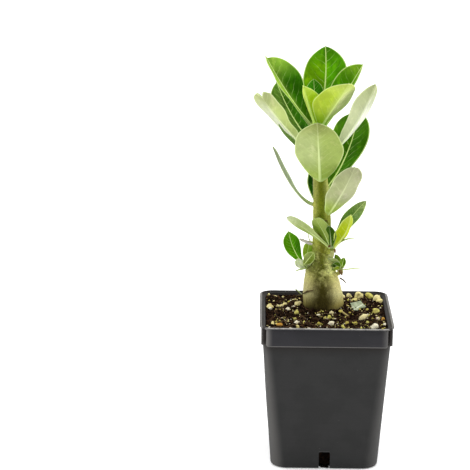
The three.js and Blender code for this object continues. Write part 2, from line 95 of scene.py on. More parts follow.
# Different forms of each kind of lump, and the seeds of what is scattered
SMALL_CRUMB_FORMS = 7
LARGE_CRUMB_FORMS = 3
GRANULE_FORMS = 8
SPECK_FORMS = 5
CRUMB_SEED = 411
GRANULE_SEED = 77
FIBRE_SEED = 1203
SCALE_SEED = 58

# Faces along and across a leaf
LARGE_GRID = (72, 28)
SMALL_GRID = (40, 14)
SLIM_GRID = (22, 6)
FLAKE_GRID = (12, 6)
SCALE_GRID = (8, 4)
LARGE_LEAF = 16  # from this width on, a leaf has a full rib and stalk
SLIM_LEAF = 6
SMALL_VEINS = 2.4  # how much finer the veins of a small leaf are

CAMERA_PLACE = (-51.06, -1340.07, 525.77)
CAMERA_PITCH = 14.8  # degrees below level
CAMERA_YAW = 0.78
CAMERA_ROLL = 0.43


# Settings

def hue(name, description, default):
    return FloatVectorProperty(
        name=name, description=description, default=default, subtype="COLOR", min=0, max=1
    )


def size(name, description, default_mm):
    return FloatProperty(
        name=name, description=description, default=default_mm * MM, unit="LENGTH", subtype="DISTANCE"
    )


def amount(name, description, default, kind=FloatProperty):
    return kind(name=name, description=description, default=default, min=0)


class ROSE_PG_pot(bpy.types.PropertyGroup):
    height: size("Height", "From the surface it stands on to the top of the lip", 114)
    lip_half: size("Half lip", "Half the width over the lip", 50)
    wall: size("Wall", "Thickness of the moulded wall", WALL)
    plastic: hue("Plastic", "Charcoal plastic", (0.0161, 0.0161, 0.0161))
    band: hue("Band", "The band under the lip, a little bluer", (0.0157, 0.0152, 0.0183))
    # also the colour of the painted highlights on the pot's corners, lip front and panel and slot edges
    wear_and_highlight: hue("Wear", "Scuffed plastic along the lip", (0.36, 0.345, 0.325))
    # peat dust inside the lip; darkened further, it is also the painted shade inside the drain slots
    dirt_and_slot_shade: hue("Dirt", "Peat dust inside the lip", (0.008, 0.005, 0.003))


class ROSE_PG_soil(bpy.types.PropertyGroup):
    crumbs: amount("Crumbs", "Peat crumbs and bark chips on top", 3000, IntProperty)
    specks: amount("Specks", "Small pale granules between the crumbs", 620, IntProperty)
    fibres: amount("Fibres", "Loose dry fibres", 170, IntProperty)
    peat: hue("Peat", "Damp dark peat", (0.0044, 0.0025, 0.0021))
    chip: hue("Chips", "Brown bark chips", (0.076, 0.038, 0.018))
    straw: hue("Fibre", "Dry tan fibre", (0.24, 0.16, 0.085))


class ROSE_PG_stem(bpy.types.PropertyGroup):
    voxel: size("Skin size", "Size of the skin's faces", 0.55)
    tan: hue("Tan", "Pale tan of pores and scars", (0.42, 0.38, 0.20))
    brown: hue("Brown", "Brown of weathered streaks", (0.055, 0.042, 0.010))


class ROSE_PG_leaves(bpy.types.PropertyGroup):
    thickness: size("Thickness", "Thickness of a large blade", 0.75)
    vein_gap: size("Vein gap", "Distance between side veins", 6.4)
    upper_vein: hue("Upper veins", "Midrib and veins of the upper side", (0.74, 0.90, 0.32))
    under_vein: hue("Lower veins", "Midrib and veins of the underside", (0.62, 0.68, 0.40))


class ROSE_PG_stage(bpy.types.PropertyGroup):
    floor: hue("Floor", "Plain pale floor", (0.9, 0.9, 0.9))
    glow: amount("Glow", "Light of the floor's own, as of a light table", 0.25)
    sky: amount("Sky", "Strength of the even light from behind and the sides", 1.15)
    front: amount("Front", "Strength of the light from the camera's side", 0.55)
    sun: amount("Sun", "Strength of the large soft light above", 1.2)
    sides: amount("Sides", "Power of each side light in watts", 2.0)
    focal: amount("Focal length", "Lens of the camera in millimetres", 140.63)


class ROSE_PG_settings(bpy.types.PropertyGroup):
    pot: PointerProperty(type=ROSE_PG_pot)
    soil: PointerProperty(type=ROSE_PG_soil)
    stem: PointerProperty(type=ROSE_PG_stem)
    leaves: PointerProperty(type=ROSE_PG_leaves)
    stage: PointerProperty(type=ROSE_PG_stage)


def settings():
    return bpy.context.scene.desert_rose


# Working in Blender

def select_only(*pieces):
    """Selects these pieces alone, the first as the active one."""
    for other in bpy.context.selected_objects:
        other.select_set(False)
    for piece in pieces:
        piece.select_set(True)
    if pieces:
        bpy.context.view_layer.objects.active = pieces[0]


def added(add_primitive, **values):
    """The new piece of one of Blender's primitives."""
    select_only()
    add_primitive(**values)
    return bpy.context.object


def edit(piece):
    select_only(piece)
    bpy.ops.object.mode_set(mode="EDIT")


def close_shape():
    """Turns every face outwards and leaves edit mode."""
    bpy.ops.mesh.select_all(action="SELECT")
    bpy.ops.mesh.normals_make_consistent(inside=False)
    bpy.ops.object.mode_set(mode="OBJECT")


def select_edges(piece, wanted):
    bpy.ops.mesh.select_mode(type="EDGE")
    mesh = bmesh.from_edit_mesh(piece.data)
    for edge in mesh.edges:
        edge.select_set(False)
    for edge in mesh.edges:
        if wanted(edge):
            edge.select_set(True)


def apply_modifier(piece, kind, **values):
    select_only(piece)
    modifier = piece.modifiers.new(kind.title(), kind)
    for key, value in values.items():
        setattr(modifier, key, value)
    bpy.ops.object.modifier_apply(modifier=modifier.name)


def apply_place(piece):
    select_only(piece)
    bpy.ops.object.transform_apply(location=True, rotation=True, scale=True)


def join(pieces):
    select_only(*pieces)
    bpy.ops.object.join()
    return pieces[0]


def finished(piece, name, node=None, material=None, angle=60):
    """Smooths and names a piece, gives it its material, and joins it to the frame."""
    select_only(piece)
    bpy.ops.object.shade_smooth_by_angle(angle=math.radians(angle))
    piece.name = name
    piece.data.name = name
    if material:
        piece.data.materials.clear()
        piece.data.materials.append(material)
    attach(piece, BODY)
    if node:
        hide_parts(node)


def points_of(piece):
    flat = np.empty(len(piece.data.vertices) * 3, np.float32)
    piece.data.vertices.foreach_get("co", flat)
    return flat.reshape(-1, 3).astype(float) / MM


def move_points(piece, points):
    """Places every vertex; points are in millimetres."""
    piece.data.vertices.foreach_set("co", (np.asarray(points) * MM).astype(np.float32).ravel())
    piece.data.update()


def write_attribute(piece, name, values):
    """Keeps one number or one vector for each vertex, for the materials to read."""
    values = np.asarray(values, np.float32)
    kind, key = ("FLOAT", "value") if values.ndim == 1 else ("FLOAT_VECTOR", "vector")
    layer = piece.data.attributes.new(name, kind, "POINT")
    layer.data.foreach_set(key, values.ravel())


def mesh_piece(points, faces):
    """A new piece from points in millimetres."""
    data = bpy.data.meshes.new("piece")
    data.from_pydata([tuple(np.asarray(p) * MM) for p in points], [], faces)
    data.update()
    piece = bpy.data.objects.new("piece", data)
    bpy.context.scene.collection.objects.link(piece)
    return piece


def loft(rings):
    """A circle, extruded once for each further ring, with each new loop laid on its ring."""
    piece = added(bpy.ops.mesh.primitive_circle_add, vertices=len(rings[0]), radius=MM)
    edit(piece)
    loop = list(bmesh.from_edit_mesh(piece.data).verts)
    for k, ring in enumerate(rings):
        if k:
            before = {tuple(v.co): i for i, v in enumerate(loop)}
            bpy.ops.mesh.extrude_region_move()
            mesh = bmesh.from_edit_mesh(piece.data)
            loop = sorted((v for v in mesh.verts if v.select), key=lambda v: before[tuple(v.co)])
        for v, p in zip(loop, ring):
            v.co = Vector(p) * MM
    bmesh.update_edit_mesh(piece.data)
    bpy.ops.mesh.select_all(action="SELECT")
    bpy.ops.mesh.fill_holes(sides=0)
    close_shape()
    return piece


def ball(x, y, z, radius, stretch=(1, 1, 1)):
    spot = (x * MM, y * MM, z * MM)
    sphere = bpy.ops.mesh.primitive_ico_sphere_add
    piece = added(sphere, subdivisions=3, radius=radius * MM, location=spot, scale=stretch)
    apply_place(piece)
    return piece


def tube(path, radii, sides):
    """Points and faces of a closed round rod along a path."""
    path = [Vector(p) for p in path]
    points, faces = [], []
    across = None
    for k, p in enumerate(path):
        along = (path[min(k + 1, len(path) - 1)] - path[max(k - 1, 0)]).normalized()
        if across is None:
            across = along.cross(Vector((0.3, 0.2, 1))).normalized()
        across = (across - along * across.dot(along)).normalized()
        other = along.cross(across)
        for i in range(sides):
            a = 2 * math.pi * i / sides
            points.append(p + (across * math.cos(a) + other * math.sin(a)) * radii[k])
        if k:
            low, high = (k - 1) * sides, k * sides
            for i in range(sides):
                j = (i + 1) % sides
                faces.append((low + i, low + j, high + j, high + i))
    faces.append(tuple(range(sides - 1, -1, -1)))
    last = (len(path) - 1) * sides
    faces.append(tuple(range(last, last + sides)))
    return [tuple(p) for p in points], faces


def curve_through(points, steps):
    """Points along a smooth line through a few given ones."""
    points = [Vector(p) for p in points]
    ends = [2 * points[0] - points[1], *points, 2 * points[-1] - points[-2]]
    line = []
    for k in range(1, len(ends) - 2):
        a, b, c, d = ends[k - 1 : k + 3]
        bend, twist = 2 * a - 5 * b + 4 * c - d, 3 * b - a - 3 * c + d
        for i in range(steps):
            t = i / steps
            line.append(0.5 * (2 * b + (c - a) * t + bend * t**2 + twist * t**3))
    line.append(points[-1])
    return line


def rod(points, radii):
    """A knobbly twig through a few points."""
    line = curve_through(points, 8)
    thick = np.interp(np.linspace(0, 1, len(line)), np.linspace(0, 1, len(radii)), radii)
    thick = thick * (1 + 0.16 * field([tuple(p) for p in line], 1.6, 6.6))
    return mesh_piece(*tube(line, thick, 8))


def field(points, cell, seed=0.0, octaves=3):
    """Smooth noise at points in millimetres; cell is the size of its bumps, in each direction."""
    cell = np.broadcast_to(np.asarray(cell, float), (3,))
    shift = Vector((seed, seed * 0.7, -seed * 1.3))
    return np.array([noise.fractal(Vector(p / cell) + shift, 1.0, 2.0, octaves) for p in np.asarray(points)])


def step_between(low, high, values):
    t = np.clip((np.asarray(values, float) - low) / (high - low), 0, 1)
    return t * t * (3 - 2 * t)


def pigment(colour_255):
    """A colour as the screen shows it, from 0 to 255, turned into light."""
    c = np.array(colour_255) / 255
    return np.where(c <= 0.04045, c / 12.92, ((c + 0.055) / 1.055) ** 2.4)


# Building shaders

class Wire:
    """An output socket. Arithmetic on it adds Math nodes, or Vector Math for a vector or a colour."""

    def __init__(self, socket):
        self.socket = socket

    def __add__(self, other):
        return maths("ADD", self, other)

    def __sub__(self, other):
        return maths("SUBTRACT", self, other)

    def __mul__(self, other):
        return maths("MULTIPLY", self, other)

    def __truediv__(self, other):
        return maths("DIVIDE", self, other)

    def __lt__(self, other):
        return maths("LESS_THAN", self, other)

    def __abs__(self):
        return maths("ABSOLUTE", self)

    def all_of_node(self):
        return [Wire(socket) for socket in self.socket.node.outputs]


def put(socket, value):
    """Links a wire to an input, or sets the input itself."""
    if isinstance(value, Wire):
        socket.id_data.links.new(value.socket, socket)
    else:
        socket.default_value = (*value, 1) if socket.type == "RGBA" else value


def add(kind, inputs, output=0, tree=None, **choices):
    """Adds a node to the tree of the wires that feed it, and gives one of its outputs."""
    if tree is None:
        tree = next(value.socket.id_data for value in inputs.values() if isinstance(value, Wire))
    node = tree.nodes.new("ShaderNode" + kind)
    for key, value in choices.items():
        setattr(node, key, value)
    for key, value in inputs.items():
        put(node.inputs[key], value)
    return Wire(node.outputs[output])


def maths(operation, first, *others):
    kind = "Math" if first.socket.type == "VALUE" else "VectorMath"
    return add(kind, dict(enumerate((first, *others))), operation=operation)


def most(first, *others):
    for other in others:
        first = maths("MAXIMUM", first, other)
    return first


def ramp(value, low, high, start=0.0, end=1.0):
    """Goes softly from start to end while the value goes from low to high."""
    inputs = {"Value": value, "From Min": low, "From Max": high, "To Min": start, "To Max": end}
    return add("MapRange", inputs, interpolation_type="SMOOTHSTEP")


def painted(colour, *coats):
    """A colour under coats of other colours, each with its share."""
    for share, coat in coats:
        colour = add("Mix", {0: share, 6: colour, 7: coat}, 2, data_type="RGBA")
    return colour


def clouds(place, scale, detail=3.0, roughness=0.55):
    return add("TexNoise", {"Vector": place, "Scale": scale, "Detail": detail, "Roughness": roughness})


def split(vector):
    return add("SeparateXYZ", {0: vector}).all_of_node()


def gradient(value, stops):
    """A colour that changes with a value; stops: value from 0 to 1, and colour."""
    colour = add("ValToRGB", {"Fac": value})
    elements = colour.socket.node.color_ramp.elements
    while len(elements) < len(stops):
        elements.new(0.5)
    for element, (position, rgb) in zip(elements, stops):
        element.position = position
        element.color = (*rgb, 1)
    return colour


def effect(inputs, outputs):
    """Makes a pattern a node group with named sockets, built at its first use and placed at each."""

    def as_group(pattern):
        def build():
            tree = bpy.data.node_groups.new(pattern.__name__, "ShaderNodeTree")
            for way, sockets in (("INPUT", inputs), ("OUTPUT", outputs)):
                for name, kind in sockets.items():
                    tree.interface.new_socket(name=name, in_out=way, socket_type="NodeSocket" + kind)
            given = tree.nodes.new("NodeGroupInput").outputs
            result = tree.nodes.new("NodeGroupOutput").inputs
            for name, value in zip(outputs, pattern(*(Wire(given[name]) for name in inputs))):
                put(result[name], value)
            return tree

        def placed_group(*values):
            tree = bpy.data.node_groups.get(pattern.__name__) or build()
            return add("Group", dict(zip(inputs, values)), node_tree=tree).all_of_node()

        return placed_group

    return as_group


def new_material(name):
    """A material, and its Object coordinates in millimetres."""
    material = bpy.data.materials.new(name)
    material.use_nodes = True
    place = add("TexCoord", {}, "Object", material.node_tree)
    return material, place * (1 / MM, 1 / MM, 1 / MM)


def attribute(material, name, output):
    return add("Attribute", {}, output, material.node_tree, attribute_name=name)


def principled(material):
    return next(node for node in material.node_tree.nodes if node.type == "BSDF_PRINCIPLED")


def finish(material, colour, roughness, lustre, relief=None, depth_mm=0.0):
    """Gives the Principled shader its colour, roughness, specular level and relief."""
    shader = principled(material)
    put(shader.inputs["Base Color"], colour)
    put(shader.inputs["Roughness"], roughness)
    shader.inputs["Specular IOR Level"].default_value = lustre
    if relief:
        bump = add("Bump", {"Strength": 1.0, "Distance": depth_mm * MM, "Height": relief})
        put(shader.inputs["Normal"], bump)
    return material


# Effects

@effect(
    dict(Place="Vector", Fine="Float", Coarse="Float"),
    dict(Tooth="Float", Mottle="Float", Height="Float"),
)
def surface_grain(place, fine, coarse):
    """Fine tooth and slow mottling of any surface."""
    tooth = clouds(place, fine, 4.0, 0.65)
    mottle = clouds(place, coarse, 3.0, 0.5)
    return ramp(tooth, 0.3, 0.7), ramp(mottle, 0.35, 0.65), tooth + mottle * 0.6


@effect(dict(Place="Vector", Spacing="Float", Size="Float", Share="Float"), dict(Speck="Float"))
def scattered_specks(place, spacing, speck_size, share):
    """Small round specks, as of dust, lenticels or grit."""
    distance, lottery, *_ = add("TexVoronoi", {"Vector": place, "Scale": spacing}).all_of_node()
    return (ramp(distance, speck_size, 0.0) * (split(lottery)[0] < share),)


@effect(
    dict(
        Place="Vector", Blade="Vector", Along="Float", Paint="Color", Vein="Color", Own="Float",
        Gap="Float", Rib="Float", Fade="Float", Veins="Float", Patches="Float",
    ),
    dict(Colour="Color", Vein="Float", Height="Float"),
)
def leaf_blade(place, blade, along, paint, vein, own, gap, rib, fade, veins, patches):
    """The pattern of a leaf's side: midrib, faint side veins, soft lighter areas, patches of painted sheen
    and the pale margin.

    blade holds, for each point, how far along the leaf it is, how far from the midrib (signed)
    and how far from the margin, in millimetres, stretched on a small leaf, whose veins are finer.
    paint is the leaf's own colour there, and own the share of it in the veins. fade is what is
    left of the midrib at the tip.
    """
    reached, across, edge = split(blade)
    wander = clouds(place, 0.12, 2.0) - 0.5
    away = abs(across)
    lean = reached - away * 0.75 - away * away * 0.02 + wander * 6.0 + maths("SIGN", across) * 1.4
    off = abs(maths("FRACT", lean / gap) - 0.5) * gap
    side = ramp(off, 0.42, 0.08) * ramp(edge, 0.8, 4.5) * ramp(away, 13.0, 2.0, 0.2, 1.0)
    side = side * ramp(clouds(place, 0.2, 2.0), 0.35, 0.6, 0.25, 1.0) * veins
    midrib = (away - wander * 0.3) / (rib * ramp(along, 1.05, 0.0, 0.45, 1.0))
    midrib = ramp(midrib, 1.3, 0.6) * ramp(along, 1.0, 0.4, fade, 1.0)
    midrib = most(midrib, ramp(along, 0.10, 0.02, 0.0, 0.7))

    slow = ramp(clouds(place * (0.085, 0.085, 0.06), 1.0), 0.34, 0.66, -1.0, 1.0)
    fleck = ramp(clouds(place, 0.9, 3.0, 0.65), 0.3, 0.7, -0.35, 0.35)
    # painted sheen: lighter yellow-green patches where the gloss catches the light
    painted_sheen = ramp(clouds(place * (0.2, 0.2, 0.09), 1.0, 3.0, 0.6), 0.5, 0.72) * patches * 2.4
    pale = painted(vein, (own, paint * (1.7, 1.7, 1.7)))
    colour = painted(
        paint * ((slow + fleck) * patches + 1.0),
        (painted_sheen, paint * (2.1, 1.75, 2.5)),
        (side, pale),
        (ramp(edge, 1.0, 0.4, 0.0, 0.7), pale),
        (midrib, pale),
    )
    return colour, most(side, midrib), clouds(place, 0.8) * 0.8 + ramp(off, 0.0, 2.4) * 0.7


@effect(
    dict(Place="Vector", Tone="Float", Peat="Color", Chip="Color", Grit="Color"),
    dict(Colour="Color", Height="Float"),
)
def damp_earth(place, tone, peat, chip, grit):
    """Damp peat from black to brown, with paler grit; tone shifts a piece towards the chip colour."""
    slow = clouds(place, 0.45)
    fine = clouds(place, 2.6, 4.0, 0.7)
    share = ramp(slow, 0.4, 0.75, 0.0, 0.55) + tone + ramp(fine, 0.35, 0.75, -0.15, 0.35)
    (speck,) = scattered_specks(place, 1.1, 0.22, 0.10)
    return painted(peat, (share, chip), (speck * 0.6, grit)), fine + slow


# Finishes

def pot_plastic():
    """Satin charcoal plastic, scuffed pale along the lip's top, dark with peat inside, with painted
    highlights and painted shade in the slots.
    """
    pot = settings().pot
    top, lip = pot.height / MM, pot.lip_half / MM
    material, place = new_material("pot_plastic")
    tooth, mottle, relief = surface_grain(place, 1.6, 0.05)
    x, y, z = split(place)
    side_x, side_y = abs(x), abs(y)
    far, near = maths("MAXIMUM", side_x, side_y), maths("MINIMUM", side_x, side_y)
    band = ramp(z, PANEL_LOW - 0.5, PANEL_LOW + 0.5)
    flow = clouds(place * (0.02, 0.02, 0.35), 1.0)

    widening = (BASE_CORNER - BODY_CORNER + BODY_HALF - BASE_HALF) / PANEL_LOW
    flat = maths("MINIMUM", z * widening + (BASE_HALF - BASE_CORNER), BODY_HALF - BODY_CORNER)
    # painted highlight: the rounded corners lighter, more on the left and more on the band, where the side
    # lights fall
    painted_corner_highlight = ramp(near - flat, 0.0, 8.0, 0.0, 0.12) * ramp(x, -BASE_HALF, BASE_HALF, 1.3, 0.7)
    painted_corner_highlight = painted_corner_highlight * (band * 2.5 + 1.0)
    scuff = clouds(place, 0.35, 4.0, 0.7)
    # the lip's top scuffed pale, with a painted highlight: much lighter along the front edge than at the back
    lip_wear_and_highlight = ramp(z, top - 0.8, top - 0.35) * ramp(far, lip - 2.1, lip - 1.7)
    lip_wear_and_highlight = lip_wear_and_highlight * ramp(scuff, 0.28, 0.6, 0.225, 0.5)
    lip_wear_and_highlight = lip_wear_and_highlight * ramp(y, 4.0 - lip, 1.0 - lip, 1.0, 1.9) * ramp(y, lip - 1.0, lip - 4.0, 0.12, 1.0)
    # painted highlight: a light line along the lower edge of each panel
    panel_edge_highlight = ramp(abs(z - (PANEL_LOW + 0.45)), 0.6, 0.1, 0.0, 0.28) * (near < PANEL_REACH)
    # painted highlight: a light line along the top edge of each drain slot
    slot_edge_highlight = ramp(abs(z - (SLOT_HIGH + 0.4)), 0.5, 0.1, 0.0, 0.06) * (near < SLOT_WIDE / 2)
    # the scuffs and the painted highlights together, in the pale wear colour
    light = most(lip_wear_and_highlight, painted_corner_highlight, panel_edge_highlight, slot_edge_highlight)
    inside = ramp(far, lip - 1.7, lip - 2.3) * ramp(z, 90.0, 104.0)
    # painted shade: the plastic nearly black low inside the drain slots
    painted_slot_shade = ramp(far, BASE_HALF - 0.6, BASE_HALF - 1.6) * ramp(z, 20.0, 15.0) * (near < SLOT_WIDE / 2 + 0.5)

    plain = painted(pot.plastic, (band, pot.band)) * ramp(mottle * 0.5 + flow * 0.5, 0.2, 0.8, 0.9, 1.12)
    colour = painted(
        plain,
        (scattered_specks(place, 0.22, 0.10, 0.25)[0] * 0.12, pot.wear_and_highlight),
        (light, pot.wear_and_highlight),
        (inside * 0.9, pot.dirt_and_slot_shade),
        (painted_slot_shade * 0.9, Vector(pot.dirt_and_slot_shade) * 0.2),
    )
    rough = ramp(tooth, 0.0, 1.0, 0.50, 0.60) + light * 0.2
    return finish(material, colour, rough, 0.22, relief + scuff * 0.4, 0.03)


def earth(name, own_tones=False):
    """Peat, plain or with a tone of its own for each crumb, and nearly black low in the pot with painted
    shade.
    """
    soil = settings().soil
    material, place = new_material(name)
    tone = attribute(material, "tone", "Fac") if own_tones else 0.0
    colour, height = damp_earth(place, tone, soil.peat, soil.chip, soil.straw)
    # painted shade: the peat darker towards the pot's floor, where it shows in the drain slots
    painted_low_shade = ramp(split(place)[2], 20.0, 90.0, 0.3, 1.0)
    return finish(material, colour * painted_low_shade, 0.9, 0.02, height, 0.5)


def fibre_straw():
    """Dry fibre, from the brown of the bark chips to tan, soiled in places."""
    soil = settings().soil
    material, place = new_material("fibre_straw")
    mottle = surface_grain(place, 2.5, 0.4)[1]
    tone = attribute(material, "tone", "Fac")
    colour = painted(soil.chip, (tone, soil.straw), (mottle * 0.5, soil.peat))
    return finish(material, colour, 0.8, 0.05)


# Tones of the granules, from 0 to 1, and their colours
GRANULE_COLOURS = [
    (0.00, (0.76, 0.64, 0.50)), (0.20, (0.90, 0.85, 0.66)), (0.40, (0.80, 0.70, 0.26)),
    (0.60, (0.62, 0.60, 0.12)), (0.80, (0.48, 0.38, 0.06)), (1.00, (0.50, 0.25, 0.03)),
]
TONES = {"pink": 0.0, "white": 0.19, "cream": 0.36, "lime": 0.56, "olive": 0.72, "amber": 1.0}
SPECK_TONES = ["white", "cream", "cream", "lime", "lime", "olive"]


def granule_grit():
    """Perlite, clay and feed granules: chalky, pitted and dirty."""
    material, place = new_material("granule_grit")
    tooth, mottle, relief = surface_grain(place, 2.2, 0.55)
    pits = ramp(clouds(place, 1.6, 3.0, 0.65), 0.62, 0.74)
    colour = painted(
        gradient(attribute(material, "tone", "Fac"), GRANULE_COLOURS),
        (mottle * 0.35, (0.36, 0.27, 0.12)),
        (pits * 0.7, settings().soil.chip),
    )
    return finish(material, colour, ramp(tooth, 0.0, 1.0, 0.6, 0.85), 0.1, relief, 0.35)


# Colours of the stem from the soil up, at heights in millimetres, from 0 to 255: the front darker with
# painted shade, the flanks paler with painted light
STEM_SHADED_FRONT = [
    (109, (44, 33, 16)), (117, (56, 49, 17)), (132, (64, 60, 14)), (142, (70, 74, 12)),
    (151, (90, 96, 24)), (160, (106, 108, 28)), (178, (106, 120, 22)), (205, (104, 112, 20)),
]
STEM_LIT_FLANKS = [
    (109, (112, 96, 44)), (117, (140, 130, 70)), (125, (190, 184, 126)), (132, (188, 181, 118)),
    (142, (178, 176, 98)), (151, (180, 192, 96)), (160, (172, 180, 80)), (178, (170, 176, 74)),
    (205, (174, 174, 92)),
]


def up_the_stem(height, stops):
    """A gradient over the height, from the first stop of the stem's front to its last."""
    low, high = STEM_SHADED_FRONT[0][0], STEM_SHADED_FRONT[-1][0]
    span = high - low
    return gradient((height - low) / span, [((z - low) / span, pigment(rgb)) for z, rgb in stops])


def stem_bark():
    """Smooth green bark, browner and darker at the front with painted shade, and paler at the flanks with
    painted light, pale tan at the swollen base.

    The attribute "round" holds the outward direction in X and Y and the height in millimetres.
    """
    stem = settings().stem
    material, place = new_material("stem_bark")
    to_right, to_back, height = split(attribute(material, "round", "Vector"))
    streaks = clouds(place * (0.5, 0.5, 0.08), 1.0, 4.0, 0.6)
    blotches = clouds(place * (0.17, 0.17, 0.11), 1.0, 4.0, 0.6)
    fine = clouds(place, 1.2, 4.0, 0.65)
    front, lit_flanks = up_the_stem(height, STEM_SHADED_FRONT), up_the_stem(height, STEM_LIT_FLANKS)

    # painted light: the flanks and the back paler than the front, as the light from the sides and behind
    # falls on them
    sway = to_right + (blotches - 0.5) * 0.5
    spread = ramp(height, 128.0, 112.0, 0.0, 0.2)
    right = ramp(sway - spread * 0.3, 0.04, 0.95)
    left = ramp(sway + spread * 1.9, -0.10, -0.95)
    lit_flank_share = most(right, left, ramp(to_back, 0.15, 0.8, 0.0, 0.7))
    shoulder = ramp(height, 139.0, 142.5) * ramp(height, 157.0, 152.0)
    pale = ramp(blotches, 0.48, 0.62) * ramp(height, 172.0, 142.0)
    knots = ramp(height, 134.0, 142.0) * ramp(height, 166.0, 156.0)
    scars = ramp(clouds(place, 0.42, 3.0, 0.6), 0.50, 0.66) * knots
    lumps = ramp(clouds(place * (0.21, 0.21, 0.30), 1.0, 3.0, 0.6), 0.48, 0.64) * knots * 0.5
    bark = painted(
        front,
        (lit_flank_share, lit_flanks),
        # painted light on the right of the shoulder and painted shade on its left
        (shoulder * ramp(to_right, 0.1, 0.7, 0.0, 0.75), pigment((216, 222, 140))),
        (shoulder * ramp(to_right, -0.1, -0.7, 0.0, 0.6), front),
        (pale * 0.28, lit_flanks),
        (ramp(streaks, 0.56, 0.72) * 0.35, stem.brown),
        (lumps, pigment((206, 206, 124))),
        (scars * 0.5, stem.brown),
        (scattered_specks(place, 0.55, 0.20, 0.22)[0] * 0.3, stem.tan),
    )
    # painted light: the whole bark lighter towards the right
    bark = bark * (ramp(fine, 0.3, 0.7, 0.68, 1.30) * ramp(to_right, -1.0, 1.0, 0.9, 1.22))
    soiled = ramp(height, 118.0, 112.0) * ramp(fine, 0.35, 0.65)
    colour = painted(bark, (soiled, settings().soil.peat))
    relief = fine + streaks * 0.8 - scars * 0.8 + lumps * 1.6
    return finish(material, colour, ramp(fine, 0.3, 0.7, 0.45, 0.65), 0.06, relief, 0.2)


def leaf_side(name, vein, own, rib, fade, veins, patches, roughness, lustre):
    """One side of the leaves. rib is half the midrib's width at the stalk in millimetres."""
    material, place = new_material(name)
    blade, paint = attribute(material, "blade", "Vector"), attribute(material, "paint", "Color")
    along = split(add("TexCoord", {}, "UV", material.node_tree))[0]
    gap = settings().leaves.vein_gap / MM
    colour, ribs, relief = leaf_blade(place, blade, along, paint, vein, own, gap, rib, fade, veins, patches)
    finish(material, colour, ramp(ribs, 0.0, 1.0, roughness, roughness + 0.12), lustre, relief, 0.10)


def dried(name, base, light):
    """Dry plant matter, flecked and matte."""
    material, place = new_material(name)
    tooth, mottle, relief = surface_grain(place, 2.4, 0.5)
    colour = painted(base, (mottle, light), (tooth * 0.25, Vector(base) * 0.45))
    return finish(material, colour, 0.75, 0.1, relief, 0.15)


# Pot

def corner_reach(x, y, half, radius):
    """How far a point on the edge of a square is drawn in to lie on the square's rounded corner."""
    flat = half - radius
    cx, cy = np.sign(x) * flat, np.sign(y) * flat
    dot = x * cx + y * cy
    far = x * x + y * y
    inner = cx * cx + cy * cy - radius * radius
    k = (dot + np.sqrt(np.maximum(dot * dot - far * inner, 0))) / far
    in_corner = (np.abs(x * k) > flat) & (np.abs(y * k) > flat)
    return np.where(in_corner, k, 1.0)


def square_ring(half, radius, z, bulge=0.0, corner_steps=12, side_steps=10):
    """A square with rounded corners and slightly bulging sides, counterclockwise."""
    ring = []
    flat = half - radius
    for side in range(4):
        turn = Matrix.Rotation(side * math.pi / 2, 2)
        for i in range(side_steps):
            t = -1 + 2 * i / side_steps
            ring.append((*(turn @ Vector((half + bulge * (1 - t * t), t * flat))), z))
        for i in range(corner_steps):
            a = i / corner_steps * math.pi / 2
            corner = Vector((flat + radius * math.cos(a), flat + radius * math.sin(a)))
            ring.append((*(turn @ corner), z))
    return ring


def wall_half(z):
    return BASE_HALF + (BODY_HALF - BASE_HALF) * (z - BOTTOM_EDGE) / (PANEL_LOW - BOTTOM_EDGE)


def pot_rings():
    """The pot's skin, from the underside up the outside, over the lip and down to the floor inside."""
    pot = settings().pot
    top, lip, wall = pot.height / MM, pot.lip_half / MM, pot.wall / MM
    under_lip = top - LIP_DEEP
    rings = []
    for i in range(7):
        a = i / 6 * math.pi / 2
        inset, z = BOTTOM_EDGE * (1 - math.sin(a)), BOTTOM_EDGE * (1 - math.cos(a))
        rings.append(square_ring(BASE_HALF - inset, BASE_CORNER - inset * 0.6, z))
    for i in range(1, 14):
        z = BOTTOM_EDGE + (PANEL_LOW - 1 - BOTTOM_EDGE) * i / 13
        radius = BASE_CORNER + (BODY_CORNER - BASE_CORNER) * z / PANEL_LOW
        bulge = 0.9 * math.sin(math.pi * (z - BOTTOM_EDGE) / (PANEL_LOW - BOTTOM_EDGE))
        rings.append(square_ring(wall_half(z), radius, z, bulge))
    outline = [
        (BAND_HALF, 7.6, PANEL_LOW + 1), (BAND_HALF, 7.4, under_lip - 0.9),
        (BAND_HALF + 0.25, 7.4, under_lip - 0.55), (lip - 0.7, 9.6, under_lip - 0.15),
        (lip - 0.15, 10, under_lip + 0.15), (lip, 10, under_lip + 0.5),
        (lip, 10, top - 0.5), (lip - 0.15, 9.9, top - 0.15), (lip - 0.5, 9.7, top), (lip - 1.4, 8.8, top),
        (lip - 1.75, 8.4, top - 0.15), (lip - 1.9, 8.0, top - 0.5), (lip - 2.6, 7.0, top - 1.2),
        (BAND_HALF - wall, 6.2, under_lip - 0.8), (wall_half(PANEL_LOW) - wall, 6.6, PANEL_LOW),
        (wall_half(60) - wall, 8.2, 60), (wall_half(20) - wall, 10, 20),
        (BASE_HALF - wall - 0.9, 9.4, FLOOR + 1.2), (BASE_HALF - wall - 1.6, 9, FLOOR),
    ]
    return rings + [square_ring(half, radius, z) for half, radius, z in outline]


def block(low, high, level, radius, segments):
    """A block between two corners, in edit mode, with its edges that run back at one level rounded."""
    low, high = Vector(low), Vector(high)
    middle = (low + high) / 2 * MM
    piece = added(bpy.ops.mesh.primitive_cube_add, size=1, location=middle, scale=(high - low) * MM)
    apply_place(piece)
    edit(piece)

    def runs_back(edge):
        a, b = (v.co / MM for v in edge.verts)
        return abs(a.y - b.y) > 1 and max(abs(a.z - level), abs(b.z - level)) < 0.01

    select_edges(piece, runs_back)
    bpy.ops.mesh.bevel(offset=radius * MM, segments=segments, affect="EDGES")
    return piece


